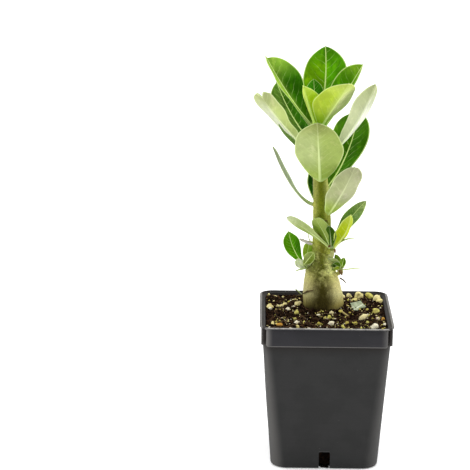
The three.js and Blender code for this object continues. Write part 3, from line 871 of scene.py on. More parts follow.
def raised_panel():
    """One panel of the band under the lip, on the front, with its rounded edges."""
    high = settings().pot.height / MM - LIP_DEEP + 0.1
    low_corner = (-PANEL_REACH, -PANEL_HALF, PANEL_LOW)
    high_corner = (PANEL_REACH, -PANEL_HALF + PANEL_DEEP, high)
    piece = block(low_corner, high_corner, PANEL_LOW, 1.8, 5)
    front = -PANEL_HALF * MM + 1e-5
    select_edges(piece, lambda e: all(v.co.y < front for v in e.verts) and len(e.link_faces) == 2)
    bpy.ops.mesh.bevel(offset=0.7 * MM, segments=4, affect="EDGES")
    return piece


def drain_slot():
    """The cutter of the drain slot in the front wall, with rounded upper corners."""
    low_corner = (-SLOT_WIDE / 2, -BASE_HALF - 6, -2)
    high_corner = (SLOT_WIDE / 2, -BASE_HALF + SLOT_IN, SLOT_HIGH)
    return block(low_corner, high_corner, SLOT_HIGH, 1.2, 4)


def on_four_sides(pot, maker, operation):
    """Makes the same form on each side of the pot, and adds it to the pot or cuts it out."""
    made = []
    for side in range(4):
        piece = maker()
        bpy.ops.object.mode_set(mode="OBJECT")
        piece.rotation_euler[2] = side * math.pi / 2
        apply_place(piece)
        made.append(piece)
    form = join(made)
    apply_modifier(pot, "BOOLEAN", operation=operation, solver="EXACT", object=form)
    bpy.data.objects.remove(form)


class ROSE_OT_pot(bpy.types.Operator):
    """Model the moulded nursery pot with its lip, raised panels and drain slots"""

    bl_idname = "rose.pot"
    bl_label = "Pot"

    def execute(self, context):
        pot = loft(pot_rings())
        on_four_sides(pot, raised_panel, "UNION")
        on_four_sides(pot, drain_slot, "DIFFERENCE")
        finished(pot, "pot_body", "pot", pot_plastic(), 32)
        return {"FINISHED"}


# Stem: height, middle in X, radius. The middle in Y is STEM_Y.
STEM_Y = 12
STEM = [
    (88, -0.5, 6.0), (96, -0.5, 11.5), (103, -0.5, 14.9), (109, -0.6, 16.0), (113, -1.0, 15.7),
    (118, -1.5, 15.4), (125, -2.1, 14.8), (132, -2.8, 13.9), (138, -3.4, 12.5), (142.5, -3.6, 10.9),
    (146, -3.1, 9.3), (150, -2.8, 8.4), (157, -3.0, 7.6), (166, -3.2, 7.1), (178, -3.6, 6.9),
    (193, -4.2, 6.4), (206, -4.8, 5.9), (222, -5.8, 5.4), (238, -6.9, 4.9), (250, -7.8, 4.4),
    (256, -8.3, 3.8), (260, -8.6, 2.4),
]
# Bark stubs on the stem: x, y, z, radius
STUBS = [
    (2.2, 6.3, 158.2, 2.9), (-1.5, 5.2, 155.6, 1.7), (-11.6, 9.6, 144.2, 3.0), (-8.8, 8.2, 150.5, 1.6),
    (6.4, 10, 145.4, 2.6), (9.0, 9.6, 143.4, 1.7), (11.4, 9.4, 141.2, 2.0), (9.9, 9.4, 139.6, 1.5),
]
LEAF_SCARS = 11


def stem_at(z):
    """The stem's middle in X and its radius at a height."""
    heights, middles, radii = zip(*STEM)
    return np.interp(z, heights, middles), np.interp(z, heights, radii)


def on_stem(z, turn, out):
    """A point at a height and a turn in degrees, so far outside the bark."""
    x, radius = stem_at(z)
    a, reach = math.radians(turn), radius + out
    return x + reach * math.cos(a), STEM_Y + reach * math.sin(a), z


def stem_ring(z, x, radius, sides=40):
    ring = []
    for i in range(sides):
        a = 2 * math.pi * i / sides
        wave = 1 + 0.02 * math.sin(3 * a + z * 0.05) + 0.015 * math.sin(5 * a - z * 0.09)
        ring.append((x + radius * wave * math.cos(a), STEM_Y + radius * wave * math.sin(a), z))
    return ring


def stalk_cushions():
    """Small swellings where the large leaves sit on the stem, and the scars of fallen leaves."""
    places = [(leaf.root[0] - 0.4, leaf.root[1], 1.9, -0.25) for leaf in LEAVES.values()]
    places += [(166 + 7.4 * k, 40 + 137.5 * k, 1.5, -0.8) for k in range(LEAF_SCARS)]
    return [ball(*on_stem(z, turn, out), radius, (1, 1, 0.75)) for z, turn, radius, out in places]


class ROSE_OT_stem(bpy.types.Operator):
    """Model the swollen base and the stem as one skin, with stubs, scars and bark relief"""

    bl_idname = "rose.stem"
    bl_label = "Stem"

    def execute(self, context):
        rows = [STEM[0]]
        for a, b in zip(STEM, STEM[1:]):
            rows += [tuple(np.array(a) + (np.array(b) - np.array(a)) * t) for t in (0.5, 1.0)]
        stem = loft([stem_ring(*row) for row in rows])
        join([stem, *(ball(*stub) for stub in STUBS), *stalk_cushions()])
        apply_modifier(stem, "REMESH", mode="VOXEL", voxel_size=settings().stem.voxel)
        apply_modifier(stem, "SMOOTH", factor=0.5, iterations=5)

        points = points_of(stem)
        z = points[:, 2]
        x = stem_at(z)[0]
        out = np.stack([points[:, 0] - x, points[:, 1] - STEM_Y, np.zeros(len(points))], 1)
        out /= np.maximum(np.linalg.norm(out, axis=1), 1e-6)[:, None]
        knots = step_between(134, 143, z) * (1 - step_between(158, 168, z))
        rise = 0.35 * field(points, (7, 7, 14), 3.1)
        rise += 0.13 * field(points, (1.6, 1.6, 9), 8.7)
        rise += 0.75 * knots * field(points, (3.0, 3.0, 2.6), 5.3)
        rise += 0.12 * field(points, (0.9, 0.9, 1.1), 1.9, 2)
        normals = np.empty(len(points) * 3, np.float32)
        stem.data.vertices.foreach_get("normal", normals)
        move_points(stem, points + normals.reshape(-1, 3) * rise[:, None])
        write_attribute(stem, "round", np.stack([out[:, 0], out[:, 1], z], 1))
        finished(stem, "stem_skin", "caudex_stem", stem_bark())
        return {"FINISHED"}


# Soil

def soil_top(x, y):
    """Height of the soil: lower at the front, heaped round the stem, with a rough top."""
    slope = SOIL_FRONT + (SOIL_BACK - SOIL_FRONT) * (y + 46) / 92
    away = np.hypot(x + 1, y - STEM_Y)
    rough = 0.5 * np.sin(x * 0.83 + 1.3) * np.cos(y * 0.71 - 0.4) + 0.3 * np.sin(x * 1.71 - y * 1.37 + 2.1)
    rise = SOIL_RISE * step_between(36, 45, abs(x))
    return slope + SOIL_MOUND * np.exp(-((away / MOUND_WIDE) ** 2)) + rise + rough


def over_soil(x, y, lift):
    return x, y, float(soil_top(x, y)) + lift


def inside_pot(x, y, room):
    """Whether a spot on the soil keeps that much room to the pot's wall."""
    half = SOIL_EDGE - room
    flat = half - SOIL_CORNER
    dx, dy = max(0, abs(x) - flat), max(0, abs(y) - flat)
    return abs(x) < half and abs(y) < half and math.hypot(dx, dy) < SOIL_CORNER


def clear_of_stem(x, y, z, room):
    middle, radius = stem_at(z)
    return math.hypot(x - middle, y - STEM_Y) > radius + room


def random_spot(chance, room, stem_room):
    while True:
        x, y, z = over_soil(chance.uniform(-45, 45), chance.uniform(-45, 45), 0)
        if inside_pot(x, y, room) and clear_of_stem(x, y, z, stem_room):
            return x, y, z


def soil_bed():
    """A grid laid over the soil's top, its edge extruded down along the pot's inside."""
    piece = added(bpy.ops.mesh.primitive_grid_add, x_subdivisions=150, y_subdivisions=150, size=2)
    grid = points_of(piece) * MM
    u, v = grid[:, 0], grid[:, 1]
    far = np.maximum(np.maximum(abs(u), abs(v)), 1e-9)
    reach = corner_reach(u / far * SOIL_EDGE, v / far * SOIL_EDGE, SOIL_EDGE, SOIL_CORNER)
    pull = 1 + (reach - 1) * far**6
    x, y = u * SOIL_EDGE * pull, v * SOIL_EDGE * pull
    flat = np.stack([x, y, np.zeros(len(x))], 1)
    z = soil_top(x, y) + 0.7 * field(flat, 2.6, 4.4) + 0.35 * field(flat, 1.1, 9.2, 2) - 0.5
    z -= 0.8 * step_between(0.97, 1.0, far)
    away = np.hypot(x + 1, y - STEM_Y)
    z -= 9 * (1 - step_between(11.5, 14.5, away))
    move_points(piece, np.stack([x, y, z], 1))

    edit(piece)
    select_edges(piece, lambda e: e.is_boundary)
    corners = ((PANEL_LOW, 6.3), (60, 7.9), (20, 9.7))
    rings = [(wall_half(z) - WALL - CLEAR, radius, z) for z, radius in corners]
    rings.append((BASE_HALF - WALL - 1.6 - CLEAR, 8.7, FLOOR + CLEAR))
    for half, radius, z in rings:
        bpy.ops.mesh.extrude_region_move()
        loop = [v for v in bmesh.from_edit_mesh(piece.data).verts if v.select]
        here = np.array([v.co for v in loop])[:, :2]
        on_square = here / np.abs(here).max(1)[:, None] * half
        reach = corner_reach(on_square[:, 0], on_square[:, 1], half, radius)
        for vertex, (px, py), k in zip(loop, on_square, reach):
            vertex.co = (px * k * MM, py * k * MM, z * MM)
    bmesh.update_edit_mesh(piece.data)
    bpy.ops.mesh.edge_face_add()
    close_shape()
    return piece


def lump_shapes(chance, count, detail, roughness, flat):
    """A few different lumps, each a sphere pushed about, as points and faces."""
    shapes = []
    for k in range(count):
        piece = added(bpy.ops.mesh.primitive_ico_sphere_add, subdivisions=detail, radius=MM)
        points = points_of(piece)
        swell = 1 + roughness * field(points, 0.9, 13.7 * k + 5 * chance.random(), 2)
        points = points * swell[:, None] * np.array([1, chance.uniform(0.7, 0.95), flat])
        shapes.append((points, [tuple(f.vertices) for f in piece.data.polygons]))
        bpy.data.objects.remove(piece)
    return shapes


def gathered(parts):
    """One piece of many parts, each with its points, faces and tone."""
    points, faces, tones = [], [], []
    for part_points, part_faces, tone in parts:
        faces += [tuple(i + len(points) for i in face) for face in part_faces]
        points += list(part_points)
        tones += [tone] * len(part_points)
    piece = mesh_piece(points, faces)
    write_attribute(piece, "tone", tones)
    return piece


def copies(shapes, places):
    """One piece of many placed copies of a few shapes. places: which shape, its matrix, its tone."""
    parts = []
    for which, matrix, tone in places:
        shape, faces = shapes[which]
        turn = np.array(matrix)[:3]
        parts.append((shape @ turn[:, :3].T + turn[:, 3], faces, min(max(tone, 0.0), 1.0)))
    return gathered(parts)


def placed(x, y, z, chance, tilt, stretch):
    """A place and turn: lying at a spot, turned at random and tilted a little."""
    turn = Matrix.Rotation(chance.uniform(0, 2 * math.pi), 4, "Z")
    lean = Matrix.Rotation(chance.gauss(0, tilt), 4, "X") @ Matrix.Rotation(chance.gauss(0, tilt), 4, "Y")
    return Matrix.Translation((x, y, z)) @ turn @ lean @ Matrix.Diagonal((*stretch, 1))


# Granules that stand out: x, y, radius, tone
GRANULES = [
    (-43, 10, 2.5, "cream"), (-42, 5.5, 1.6, "white"), (-36, 16.5, 1.3, "cream"), (-33, 16, 1.8, "cream"),
    (-30.5, 19, 1.8, "cream"), (-28.5, 6, 1.8, "white"), (-20.5, 14, 2.4, "cream"), (-22, -2, 2.0, "lime"),
    (-22, -21, 2.1, "white"), (-40.5, -29, 1.9, "cream"), (-35, -29.5, 2.1, "amber"),
    (-22, -32.5, 2.1, "cream"), (-27, -37, 1.5, "white"), (-13, -37, 1.6, "white"),
    (3.5, -24.5, 2.6, "white"), (4.5, -7, 1.8, "cream"),
    (3, -13, 1.7, "lime"), (20, 43, 2.4, "cream"), (27.5, 40, 3.4, "cream"), (23.5, 30, 2.3, "cream"),
    (36, 42, 3.1, "lime"), (41, 32, 3.0, "cream"), (43, 26, 2.3, "cream"), (39, 3, 2.8, "lime"),
    (28.5, -10.5, 3.2, "cream"), (15.5, -21.5, 1.6, "olive"), (22, -22.5, 1.6, "olive"),
    (39.5, -12, 1.6, "pink"), (43, -16, 1.7, "amber"), (36, -32.5, 2.9, "white"),
    (44, -29.5, 1.5, "white"), (15, 37, 1.9, "cream"), (-38, 38, 1.8, "cream"),
    (-8, 40, 2.0, "lime"), (8, 42, 1.8, "cream"),
]


class ROSE_OT_soil(bpy.types.Operator):
    """Model the soil: the bed, and the peat crumbs and bark chips that lie on it"""

    bl_idname = "rose.soil"
    bl_label = "Soil"

    def execute(self, context):
        chance = random.Random(CRUMB_SEED)
        finished(soil_bed(), "soil_bed", "soil", earth("peat"))

        shapes = lump_shapes(chance, SMALL_CRUMB_FORMS, 1, 0.5, 0.55)
        shapes += lump_shapes(chance, LARGE_CRUMB_FORMS, 2, 0.45, 0.6)
        places = []
        for _ in range(settings().soil.crumbs):
            reach = min(0.55 * math.exp(chance.gauss(0, 0.45)), 2.2)
            x, y, z = random_spot(chance, reach + 0.2, 0.2)
            stretch = (reach * chance.uniform(1.0, 2.1), reach, reach * chance.uniform(0.8, 1.4))
            if reach < LARGE_CRUMB:
                which = chance.randrange(SMALL_CRUMB_FORMS)
            else:
                which = SMALL_CRUMB_FORMS + chance.randrange(LARGE_CRUMB_FORMS)
            tone = chance.gauss(0.12, 0.28)
            places.append((which, placed(x, y, z + 0.15 * reach, chance, 0.5, stretch), tone))
        for side in range(4):
            turn = Matrix.Rotation(side * math.pi / 2, 4, "Z")
            for _ in range(SLOT_CRUMBS):
                x, y = chance.uniform(-3.0, 3.0), -BASE_HALF + chance.uniform(1.4, SLOT_IN - 1.0)
                matrix = turn @ placed(x, y, 0.9, chance, 0.2, (1.3, 1.1, 1.2))
                places.append((chance.randrange(SMALL_CRUMB_FORMS), matrix, 0.1))
        crumbs = copies(shapes, places)
        finished(crumbs, "soil_crumbs", None, earth("crumb", True), 40)
        return {"FINISHED"}


class ROSE_OT_granules(bpy.types.Operator):
    """Model the pale granules in the soil, the ones that stand out and the small specks"""

    bl_idname = "rose.granules"
    bl_label = "Granules"

    def execute(self, context):
        chance = random.Random(GRANULE_SEED)
        shapes = lump_shapes(chance, GRANULE_FORMS, 3, 0.42, 0.85)
        shapes += lump_shapes(chance, SPECK_FORMS, 1, 0.35, 0.8)
        places = []
        for x, y, radius, tone in GRANULES:
            room = SOIL_EDGE - radius - 0.4
            spot = over_soil(max(-room, min(room, x)), max(-room, min(room, y)), radius * 0.3)
            grown = (radius * chance.uniform(0.95, 1.2), radius, radius)
            tone = TONES[tone] + chance.uniform(-0.04, 0.04)
            which = chance.randrange(GRANULE_FORMS)
            places.append((which, placed(*spot, chance, 0.35, grown), tone))
        x, y, z = 0, -30, 0
        for _ in range(settings().soil.specks):
            radius = min(0.44 * math.exp(chance.gauss(0, 0.5)), 1.5)
            x, y = x + chance.gauss(0, 1.6), y + chance.gauss(0, 1.6)
            free = clear_of_stem(x, y, z, radius + 0.3) and inside_pot(x, y, radius + 0.3)
            if chance.random() > 0.6 or not free:
                x, y, z = random_spot(chance, radius + 0.3, 0.3)
            x, y, z = over_soil(x, y, 0)
            grown = (radius * chance.uniform(0.9, 1.5), radius, radius)
            tone = TONES[chance.choice(SPECK_TONES)] + chance.uniform(-0.05, 0.05)
            matrix = placed(x, y, z + 0.35 + 0.3 * radius, chance, 0.4, grown)
            places.append((GRANULE_FORMS + chance.randrange(SPECK_FORMS), matrix, tone))
        finished(copies(shapes, places), "soil_granules", None, granule_grit(), 50)
        return {"FINISHED"}


def loose_strand(chance, x, y, length, steps=8):
    """The path of a thin bent fibre over the soil from a spot, or None where it would hit something."""
    heading = chance.uniform(0, 2 * math.pi)
    bend = chance.gauss(0, 0.28)
    path = []
    for k in range(steps + 1):
        arch = chance.uniform(0.15, 0.5) + 1.1 * math.sin(math.pi * k / steps) * min(length / 14, 1)
        path.append(over_soil(x, y, arch))
        x += math.cos(heading) * length / steps
        y += math.sin(heading) * length / steps
        heading += bend + chance.gauss(0, 0.18)
    free = all(inside_pot(px, py, 0.8) and clear_of_stem(px, py, pz, 0.6) for px, py, pz in path)
    return path if free else None


class ROSE_OT_fibres(bpy.types.Operator):
    """Model the dry fibres and rootlets that lie across the soil"""

    bl_idname = "rose.fibres"
    bl_label = "Fibres"

    def execute(self, context):
        chance = random.Random(FIBRE_SEED)
        parts = []
        while len(parts) < settings().soil.fibres:
            x, y, _ = random_spot(chance, 1.5, 1.0)
            path = loose_strand(chance, x, y, chance.uniform(4, 16))
            if path:
                radius = chance.uniform(0.12, 0.26)
                last = len(path) - 1
                radii = [radius * (1 - 0.6 * abs(2 * k / last - 1) ** 3) for k in range(last + 1)]
                parts.append((*tube(path, radii, 5), min(1.0, abs(chance.gauss(0.35, 0.35)))))
        finished(gathered(parts), "soil_fibres", None, fibre_straw())
        return {"FINISHED"}


# Leaves

# The light on the leaves is a little over full, so their colours are dimmed by this to look as given.
LEAF_DIM = 0.83
# The side that faces away
PLAIN_UPPER = ((76, 126, 10), (68, 118, 6), (92, 138, 24), (78, 128, 14))
PLAIN_UNDER = ((168, 184, 112), (174, 188, 120), (152, 172, 86), (164, 178, 104))


def leaf_form(root, tip, width, a, b, front, **more):
    """One leaf.

    root: where on the stem it grows, height and turn in degrees (0 is +X, 90 is +Y), or a point.
    tip: where it ends. a, b: how the width grows from the stalk and closes at the tip.
    front: colours of the side that faces the front, from 0 to 255: first half, second half,
    stalk end and tip end, each the leaf's own colour with the light and shade on it painted in. away: the
    same for the other side, where it is the underside.
    bow: how far the middle rises over the straight line; sway: the same, sideways;
    skew: under 1 where the bow lies nearer the stalk.
    fold: how far each half is folded up, in degrees; roll: the whole blade turned on its midrib.
    wide: the share of the width that each half has; blunt: the share that is left at the tip.
    point: how far the very tip is drawn out, or drawn in where it is notched.
    wave: depth of the waves along the margin, how many, and where they start.
    ripple: the same for the outline, as a share of the width, for both halves or one each.
    """
    usual = dict(
        bow=0, sway=0, skew=1, fold=0, roll=0, wide=1, blunt=0, point=0.4, wave=(0.04 * width, 2.0, 0.3),
        ripple=(0.02, 2.4, 0.3), away=PLAIN_UNDER,
    )
    return SimpleNamespace(**(usual | more), root=root, tip=tip, width=width, a=a, b=b, front=front)


# Each leaf's colours hold its own colour with painted light and shade
LEAVES = {
    "top_back": leaf_form(
        (252, 86), (-2.6, 36, 310), 34, 1.35, 0.78,
        ((110, 166, 4), (88, 166, 6), (100, 152, 8), (70, 134, 6)),
        sway=-2.5, fold=8, point=1.0, wave=(0.6, 2.2, 0.4),
    ),
    "top_right": leaf_form(
        (249, 5), (25, 20, 299), 26, 1.5, 0.75, ((94, 172, 6), (104, 172, 10), (92, 168, 6), (118, 166, 34)),
        roll=70, fold=8, wide=(1, 0.2), point=1.6, wave=(0.5, 2.0, 1.2),
    ),
    "top_left": leaf_form(
        (251, 158), (-47, 36, 300.6), 36, 1.2, 0.58,
        ((150, 190, 60), (46, 104, 0), (70, 112, 10), (136, 178, 56)), bow=-2, fold=(22, 30),
        wide=(0.62, 1), point=1.8, wave=(0.6, 2.4, 2.0), ripple=((0.07, 0), 3.2, 0.6),
    ),
    "mid_left": leaf_form(
        (236, 128), (-39, 46, 280), 32, 0.95, 0.75,
        ((84, 122, 26), (54, 116, 2), (68, 118, 8), (88, 130, 36)),
        bow=-4, fold=8, wide=(1.15, 1), point=0.8, wave=(0.6, 2.0, 0.1),
    ),
    "fold_left": leaf_form(
        (231, 205), (-52.3, -3, 281.7), 18, 1.4, 0.34,
        ((200, 216, 132), (206, 213, 180), (252, 254, 216), (176, 186, 126)),
        bow=-2, roll=28, fold=12, wide=(1.1, 1.6), blunt=0.42, point=-4.5, wave=(0.7, 3.0, 0.8),
        ripple=((0.02, 0.10), 3.4, 0.2),
    ),
    "behind_fold": leaf_form(
        (228, 190), (-37.2, 8, 256.5), 7.4, 1.0, 0.6,
        ((132, 158, 96), (104, 136, 62), (120, 150, 80), (120, 148, 84)),
        roll=70, fold=4, wave=(0.3, 2.0, 0.6),
    ),
    "front": leaf_form(
        (212, 266), (-10, -39, 266), 36, 0.88, 0.72,
        ((161, 180, 96), (184, 199, 130), (162, 186, 84), (140, 151, 82)), fold=5, wave=(0.5, 2.3, 1.0),
    ),
    "young_right": leaf_form(
        (253, 305), (13.2, -16, 290.8), 36, 1.1, 0.85,
        ((224, 233, 160), (196, 220, 70), (140, 186, 24), (192, 210, 100)),
        fold=(12, 28), wide=(1, 0.92), point=0.6, wave=(0.6, 2.0, 0.0),
        away=((240, 244, 214), (240, 244, 214), (196, 218, 116), (250, 252, 234)),
    ),
    "young_left": leaf_form(
        (254, 235), (-19.6, -3, 286.5), 22, 1.1, 0.9,
        ((198, 240, 14), (220, 242, 112), (192, 228, 50), (212, 240, 90)),
        fold=30, wide=(1, 0.7), point=0.6, wave=(0.3, 2.0, 0.5),
    ),
    "inner": leaf_form(
        (258, 110), (-11.5, 25, 286.8), 14, 1.6, 0.9,
        ((56, 138, 4), (54, 134, 4), (56, 138, 4), (64, 140, 8)), fold=10, wave=(0.2, 2.0, 0.5),
    ),
    "fold_right": leaf_form(
        (227, 330), (33, -2, 288), 24, 1.9, 0.75,
        ((226, 231, 206), (208, 216, 168), (220, 228, 186), (180, 190, 136)),
        bow=-4, roll=-30, fold=20, wide=(1.1, 0.85), point=0.9, wave=(0.5, 2.4, 0.3),
        ripple=((0.12, 0.015), 2.2, 0.9),
    ),
    "right": leaf_form(
        (203, 40), (24, 42, 258), 33, 1.25, 0.52, ((66, 118, 2), (60, 116, 2), (70, 118, 4), (78, 132, 14)),
        bow=-5, sway=-1, fold=6, wide=(1.22, 0.98), wave=(0.6, 2.0, 0.9),
    ),
    "low_right": leaf_form(
        (186, 325), (19.1, -9, 227), 24.5, 0.78, 0.5,
        ((180, 185, 142), (174, 182, 130), (186, 212, 88), (168, 172, 130)),
        bow=-1.5, roll=-20, fold=5, point=0.3, wave=(0.5, 2.0, 0.2), ripple=(0.04, 2.6, 0.2),
    ),
    "low_left": leaf_form(
        (193.5, 180), (-41, 12, 236.8), 22, 1.25, 0.55,
        ((132, 146, 110), (138, 150, 114), (104, 122, 60), (120, 132, 96)),
        bow=-5.5, skew=0.7, roll=9, fold=8, point=0.8, wave=(0.3, 2.0, 0.6),
    ),
    "low_back": leaf_form(
        (190, 92), (-3, 51, 219), 22, 0.85, 0.55, ((26, 76, 0), (28, 80, 0), (28, 80, 0), (34, 84, 2)),
        bow=-2, fold=5, point=0.3, wave=(0.4, 2.0, 0.7),
    ),
    "hidden_back": leaf_form(
        (222, 100), (-13, 62, 250), 20, 1.25, 0.6, ((72, 120, 8), (66, 112, 5), (80, 125, 14), (80, 125, 14)),
        bow=3, fold=6, point=0.5, wave=(0.5, 2.0, 0.2),
    ),
}

# Side shoots: the green heart with its radius, and the small leaves from it
SHOOTS = {
    "upper_right": ((4.2, 4.6, 160.8, 2.1), [
        leaf_form(
            (4, 6, 161), (30, 18, 194.6), 13, 1.4, 0.8,
            ((106, 148, 60), (118, 156, 78), (118, 157, 62), (137, 160, 90)), bow=2, roll=25, fold=6,
        ),
        leaf_form(
            (4.5, 5, 161), (17.4, -2, 188.6), 16, 1.1, 0.8,
            ((187, 203, 38), (175, 195, 28), (179, 197, 50), (189, 207, 74)), bow=-3, roll=-20, fold=20,
        ),
        leaf_form(
            (3.6, 2.0, 162), (1.6, -3.4, 180.4), 8.8, 1.2, 0.8,
            ((50, 84, 8), (56, 92, 10), (64, 94, 16), (50, 84, 8)), bow=1, roll=-10, fold=10,
        ),
        leaf_form(
            (3, 3.6, 161.5), (-9.2, 0, 185.4), 14, 1.0, 0.5,
            ((150, 172, 84), (132, 160, 52), (136, 168, 60), (166, 186, 96)),
            bow=1, roll=45, fold=8, wide=(0.88, 1),
        ),
        leaf_form(
            (2.6, 3.2, 161.5), (-30.2, 0, 186), 9.5, 1.6, 0.55,
            ((176, 194, 120), (168, 188, 106), (160, 180, 84), (196, 208, 156)), bow=1, roll=50, fold=8,
        ),
        leaf_form(
            (6, 4.6, 161), (20.5, 4, 169), 3.4, 1.0, 0.8,
            ((180, 200, 120), (186, 202, 130), (170, 186, 96), (200, 212, 160)), bow=2, fold=10,
        ),
    ]),
    "left": ((-14.6, 8.0, 145.4, 2.2), [
        leaf_form(
            (-14.2, 7, 144), (-28.7, 12, 171.8), 13, 2.2, 0.95,
            ((82, 146, 2), (68, 136, 2), (108, 160, 20), (80, 142, 4)), bow=-2.7, roll=-65, fold=10,
        ),
        leaf_form(
            (-14.8, 9.4, 146.5), (-12.6, 12, 163), 8.6, 1.3, 0.55,
            ((160, 200, 52), (140, 184, 40), (176, 206, 80), (160, 196, 60)), bow=1, roll=50, fold=14,
        ),
        leaf_form(
            (-14.8, 7.6, 144.8), (-23.6, 4, 150.2), 7.6, 1.0, 0.5,
            ((196, 210, 164), (205, 218, 172), (178, 196, 116), (198, 212, 166)), roll=-60, fold=10,
        ),
        leaf_form(
            (-14.4, 7, 144.4), (-22.6, 3, 143.4), 3, 1.0, 0.8,
            ((164, 182, 110), (160, 178, 100), (152, 174, 90), (174, 190, 125)), fold=5,
        ),
        leaf_form(
            (-16.6, 6.4, 147.4), (-9.6, 1, 158.4), 8, 1.0, 0.7,
            ((156, 176, 92), (114, 134, 42), (150, 168, 76), (144, 164, 76)), roll=105, fold=12,
        ),
    ]),
    "right": ((11.6, 9.2, 144.2, 1.5), [
        leaf_form(
            (11, 9.8, 145), (7.3, 9.6, 154.6), 5.4, 1.0, 0.8,
            ((130, 164, 44), (100, 138, 22), (140, 170, 58), (122, 158, 40)), roll=60, fold=12,
        ),
        leaf_form(
            (12, 9.2, 144.2), (13.8, 9.6, 152.2), 5, 1.0, 0.8,
            ((124, 170, 28), (96, 142, 14), (150, 184, 54), (132, 176, 38)), roll=70, fold=14,
        ),
        leaf_form(
            (11.2, 8.6, 143.8), (5.4, 3.4, 144.6), 5.4, 1.0, 0.6,
            ((136, 158, 28), (122, 149, 24), (134, 155, 42), (143, 162, 50)), roll=50, fold=14,
        ),
        leaf_form(
            (11.2, 8.6, 144.4), (5.6, 3.2, 149.4), 6, 1.0, 0.6,
            ((66, 98, 8), (56, 88, 4), (100, 130, 30), (76, 108, 16)), roll=50, fold=14,
        ),
        leaf_form(
            (11.2, 8.4, 145), (1.6, 1.6, 153.4), 5, 1.0, 0.7,
            ((156, 172, 98), (144, 164, 84), (140, 162, 72), (168, 182, 116)), bow=1, roll=40, fold=14,
        ),
        leaf_form(
            (12.4, 9.2, 142.9), (25.8, 9, 144.2), 2.2, 1.0, 0.8,
            ((162, 178, 100), (168, 182, 108), (162, 174, 84), (200, 208, 160)), fold=4,
        ),
    ]),
}
HEART_GREEN = (118, 132, 52)
SCALE_COLOURS = [
    ((120, 145, 50), (110, 138, 44), (120, 130, 60), (140, 158, 70)),
    ((100, 112, 40), (92, 104, 36), (100, 100, 44), (128, 120, 60)),
]
HEART_SCALES = 7


def unit(vectors):
    return vectors / np.linalg.norm(vectors, axis=-1, keepdims=True)


def two_halves(value):
    return value if isinstance(value, tuple) else (value, value)


def half_width(leaf, s):
    m = leaf.a / (leaf.a + leaf.b)
    form = s**leaf.a * (1 - s) ** leaf.b / (m**leaf.a * (1 - m) ** leaf.b)
    return leaf.width / 2 * form + min(1.1, leaf.width * 0.11) * (1 - s) ** 3 + 0.35 * s**8


def leaf_sheet(leaf, s, t):
    """The blade's middle sheet at s along (0 to 1) and t across (-1 to 1), with its half width and length."""
    root = np.array(on_stem(*leaf.root, -1.2) if len(leaf.root) == 2 else leaf.root, float)
    chord = np.array(leaf.tip, float) - root
    side = unit(np.array([-chord[1], chord[0], 0.0]))
    off = np.cross(unit(chord), side) * leaf.bow + side * leaf.sway

    def spine(q):
        u = np.maximum(q, 0) ** leaf.skew
        return root + np.outer(q, chord) + np.outer(4 * u * (1 - u), off)

    along = unit(spine(np.minimum(s + 0.01, 1)) - spine(np.maximum(s - 0.01, 0)))
    across = unit(side - along * (along @ side)[:, None])
    up = np.cross(along, across)
    r = math.radians(leaf.roll)
    flat, rise = across * math.cos(r) + up * math.sin(r), up * math.cos(r) - across * math.sin(r)

    first_half = t > 0
    fold = np.radians(np.where(first_half, *two_halves(leaf.fold)))
    swing, swings, start = leaf.ripple
    swing = np.where(first_half, *two_halves(swing))
    turn = 2 * math.pi * swings * s + start + np.where(first_half, 0, 1.7)
    ripple = 1 + swing * np.sin(turn) * step_between(0, 0.3, s)
    wide = np.maximum(half_width(leaf, s), leaf.blunt * leaf.width / 2 * step_between(0.5, 0.8, s))
    wide = wide * np.where(first_half, *two_halves(leaf.wide)) * ripple
    soft = 0.10
    bend = (np.sqrt(t * t + soft * soft) - soft) / (math.sqrt(1 + soft * soft) - soft)
    depth, waves, start = leaf.wave
    wave = depth * np.sin(2 * math.pi * waves * s + start + np.where(first_half, 0, 2.1))
    wave *= t**2 * np.sin(math.pi * np.clip(s, 0, 1)) * np.clip(wide / 6, 0, 1)
    inward = 1 - np.abs(t)
    belly = 0.035 * wide * np.abs(t) * inward * 4
    sheet = spine(s) + flat * (wide * np.cos(fold) * t)[:, None]
    sheet += rise * (wide * np.sin(fold) * bend + wave + belly)[:, None]
    if leaf.point > 0:
        point = leaf.point * step_between(0.95, 1.0, s) * inward**2
    else:
        notch = leaf.point * step_between(0.8, 1.0, s) * inward**1.4
        point = notch - 1.6 * step_between(0.93, 1.0, s) * t**6
    return sheet + along * point[:, None], wide, np.linalg.norm(chord)


def leaf_paint(colours, s, t):
    """The colour of each point: the two halves, turning to the others at the stalk and the tip."""
    first, second, stalk, tip = (pigment(c) for c in colours)
    paint = second + (first - second) * step_between(-0.3, 0.3, t)[:, None]
    paint = paint + (stalk - paint) * (1 - step_between(0.05, 0.42, s))[:, None]
    return LEAF_DIM * (paint + (tip - paint) * step_between(0.62, 1.0, s)[:, None])


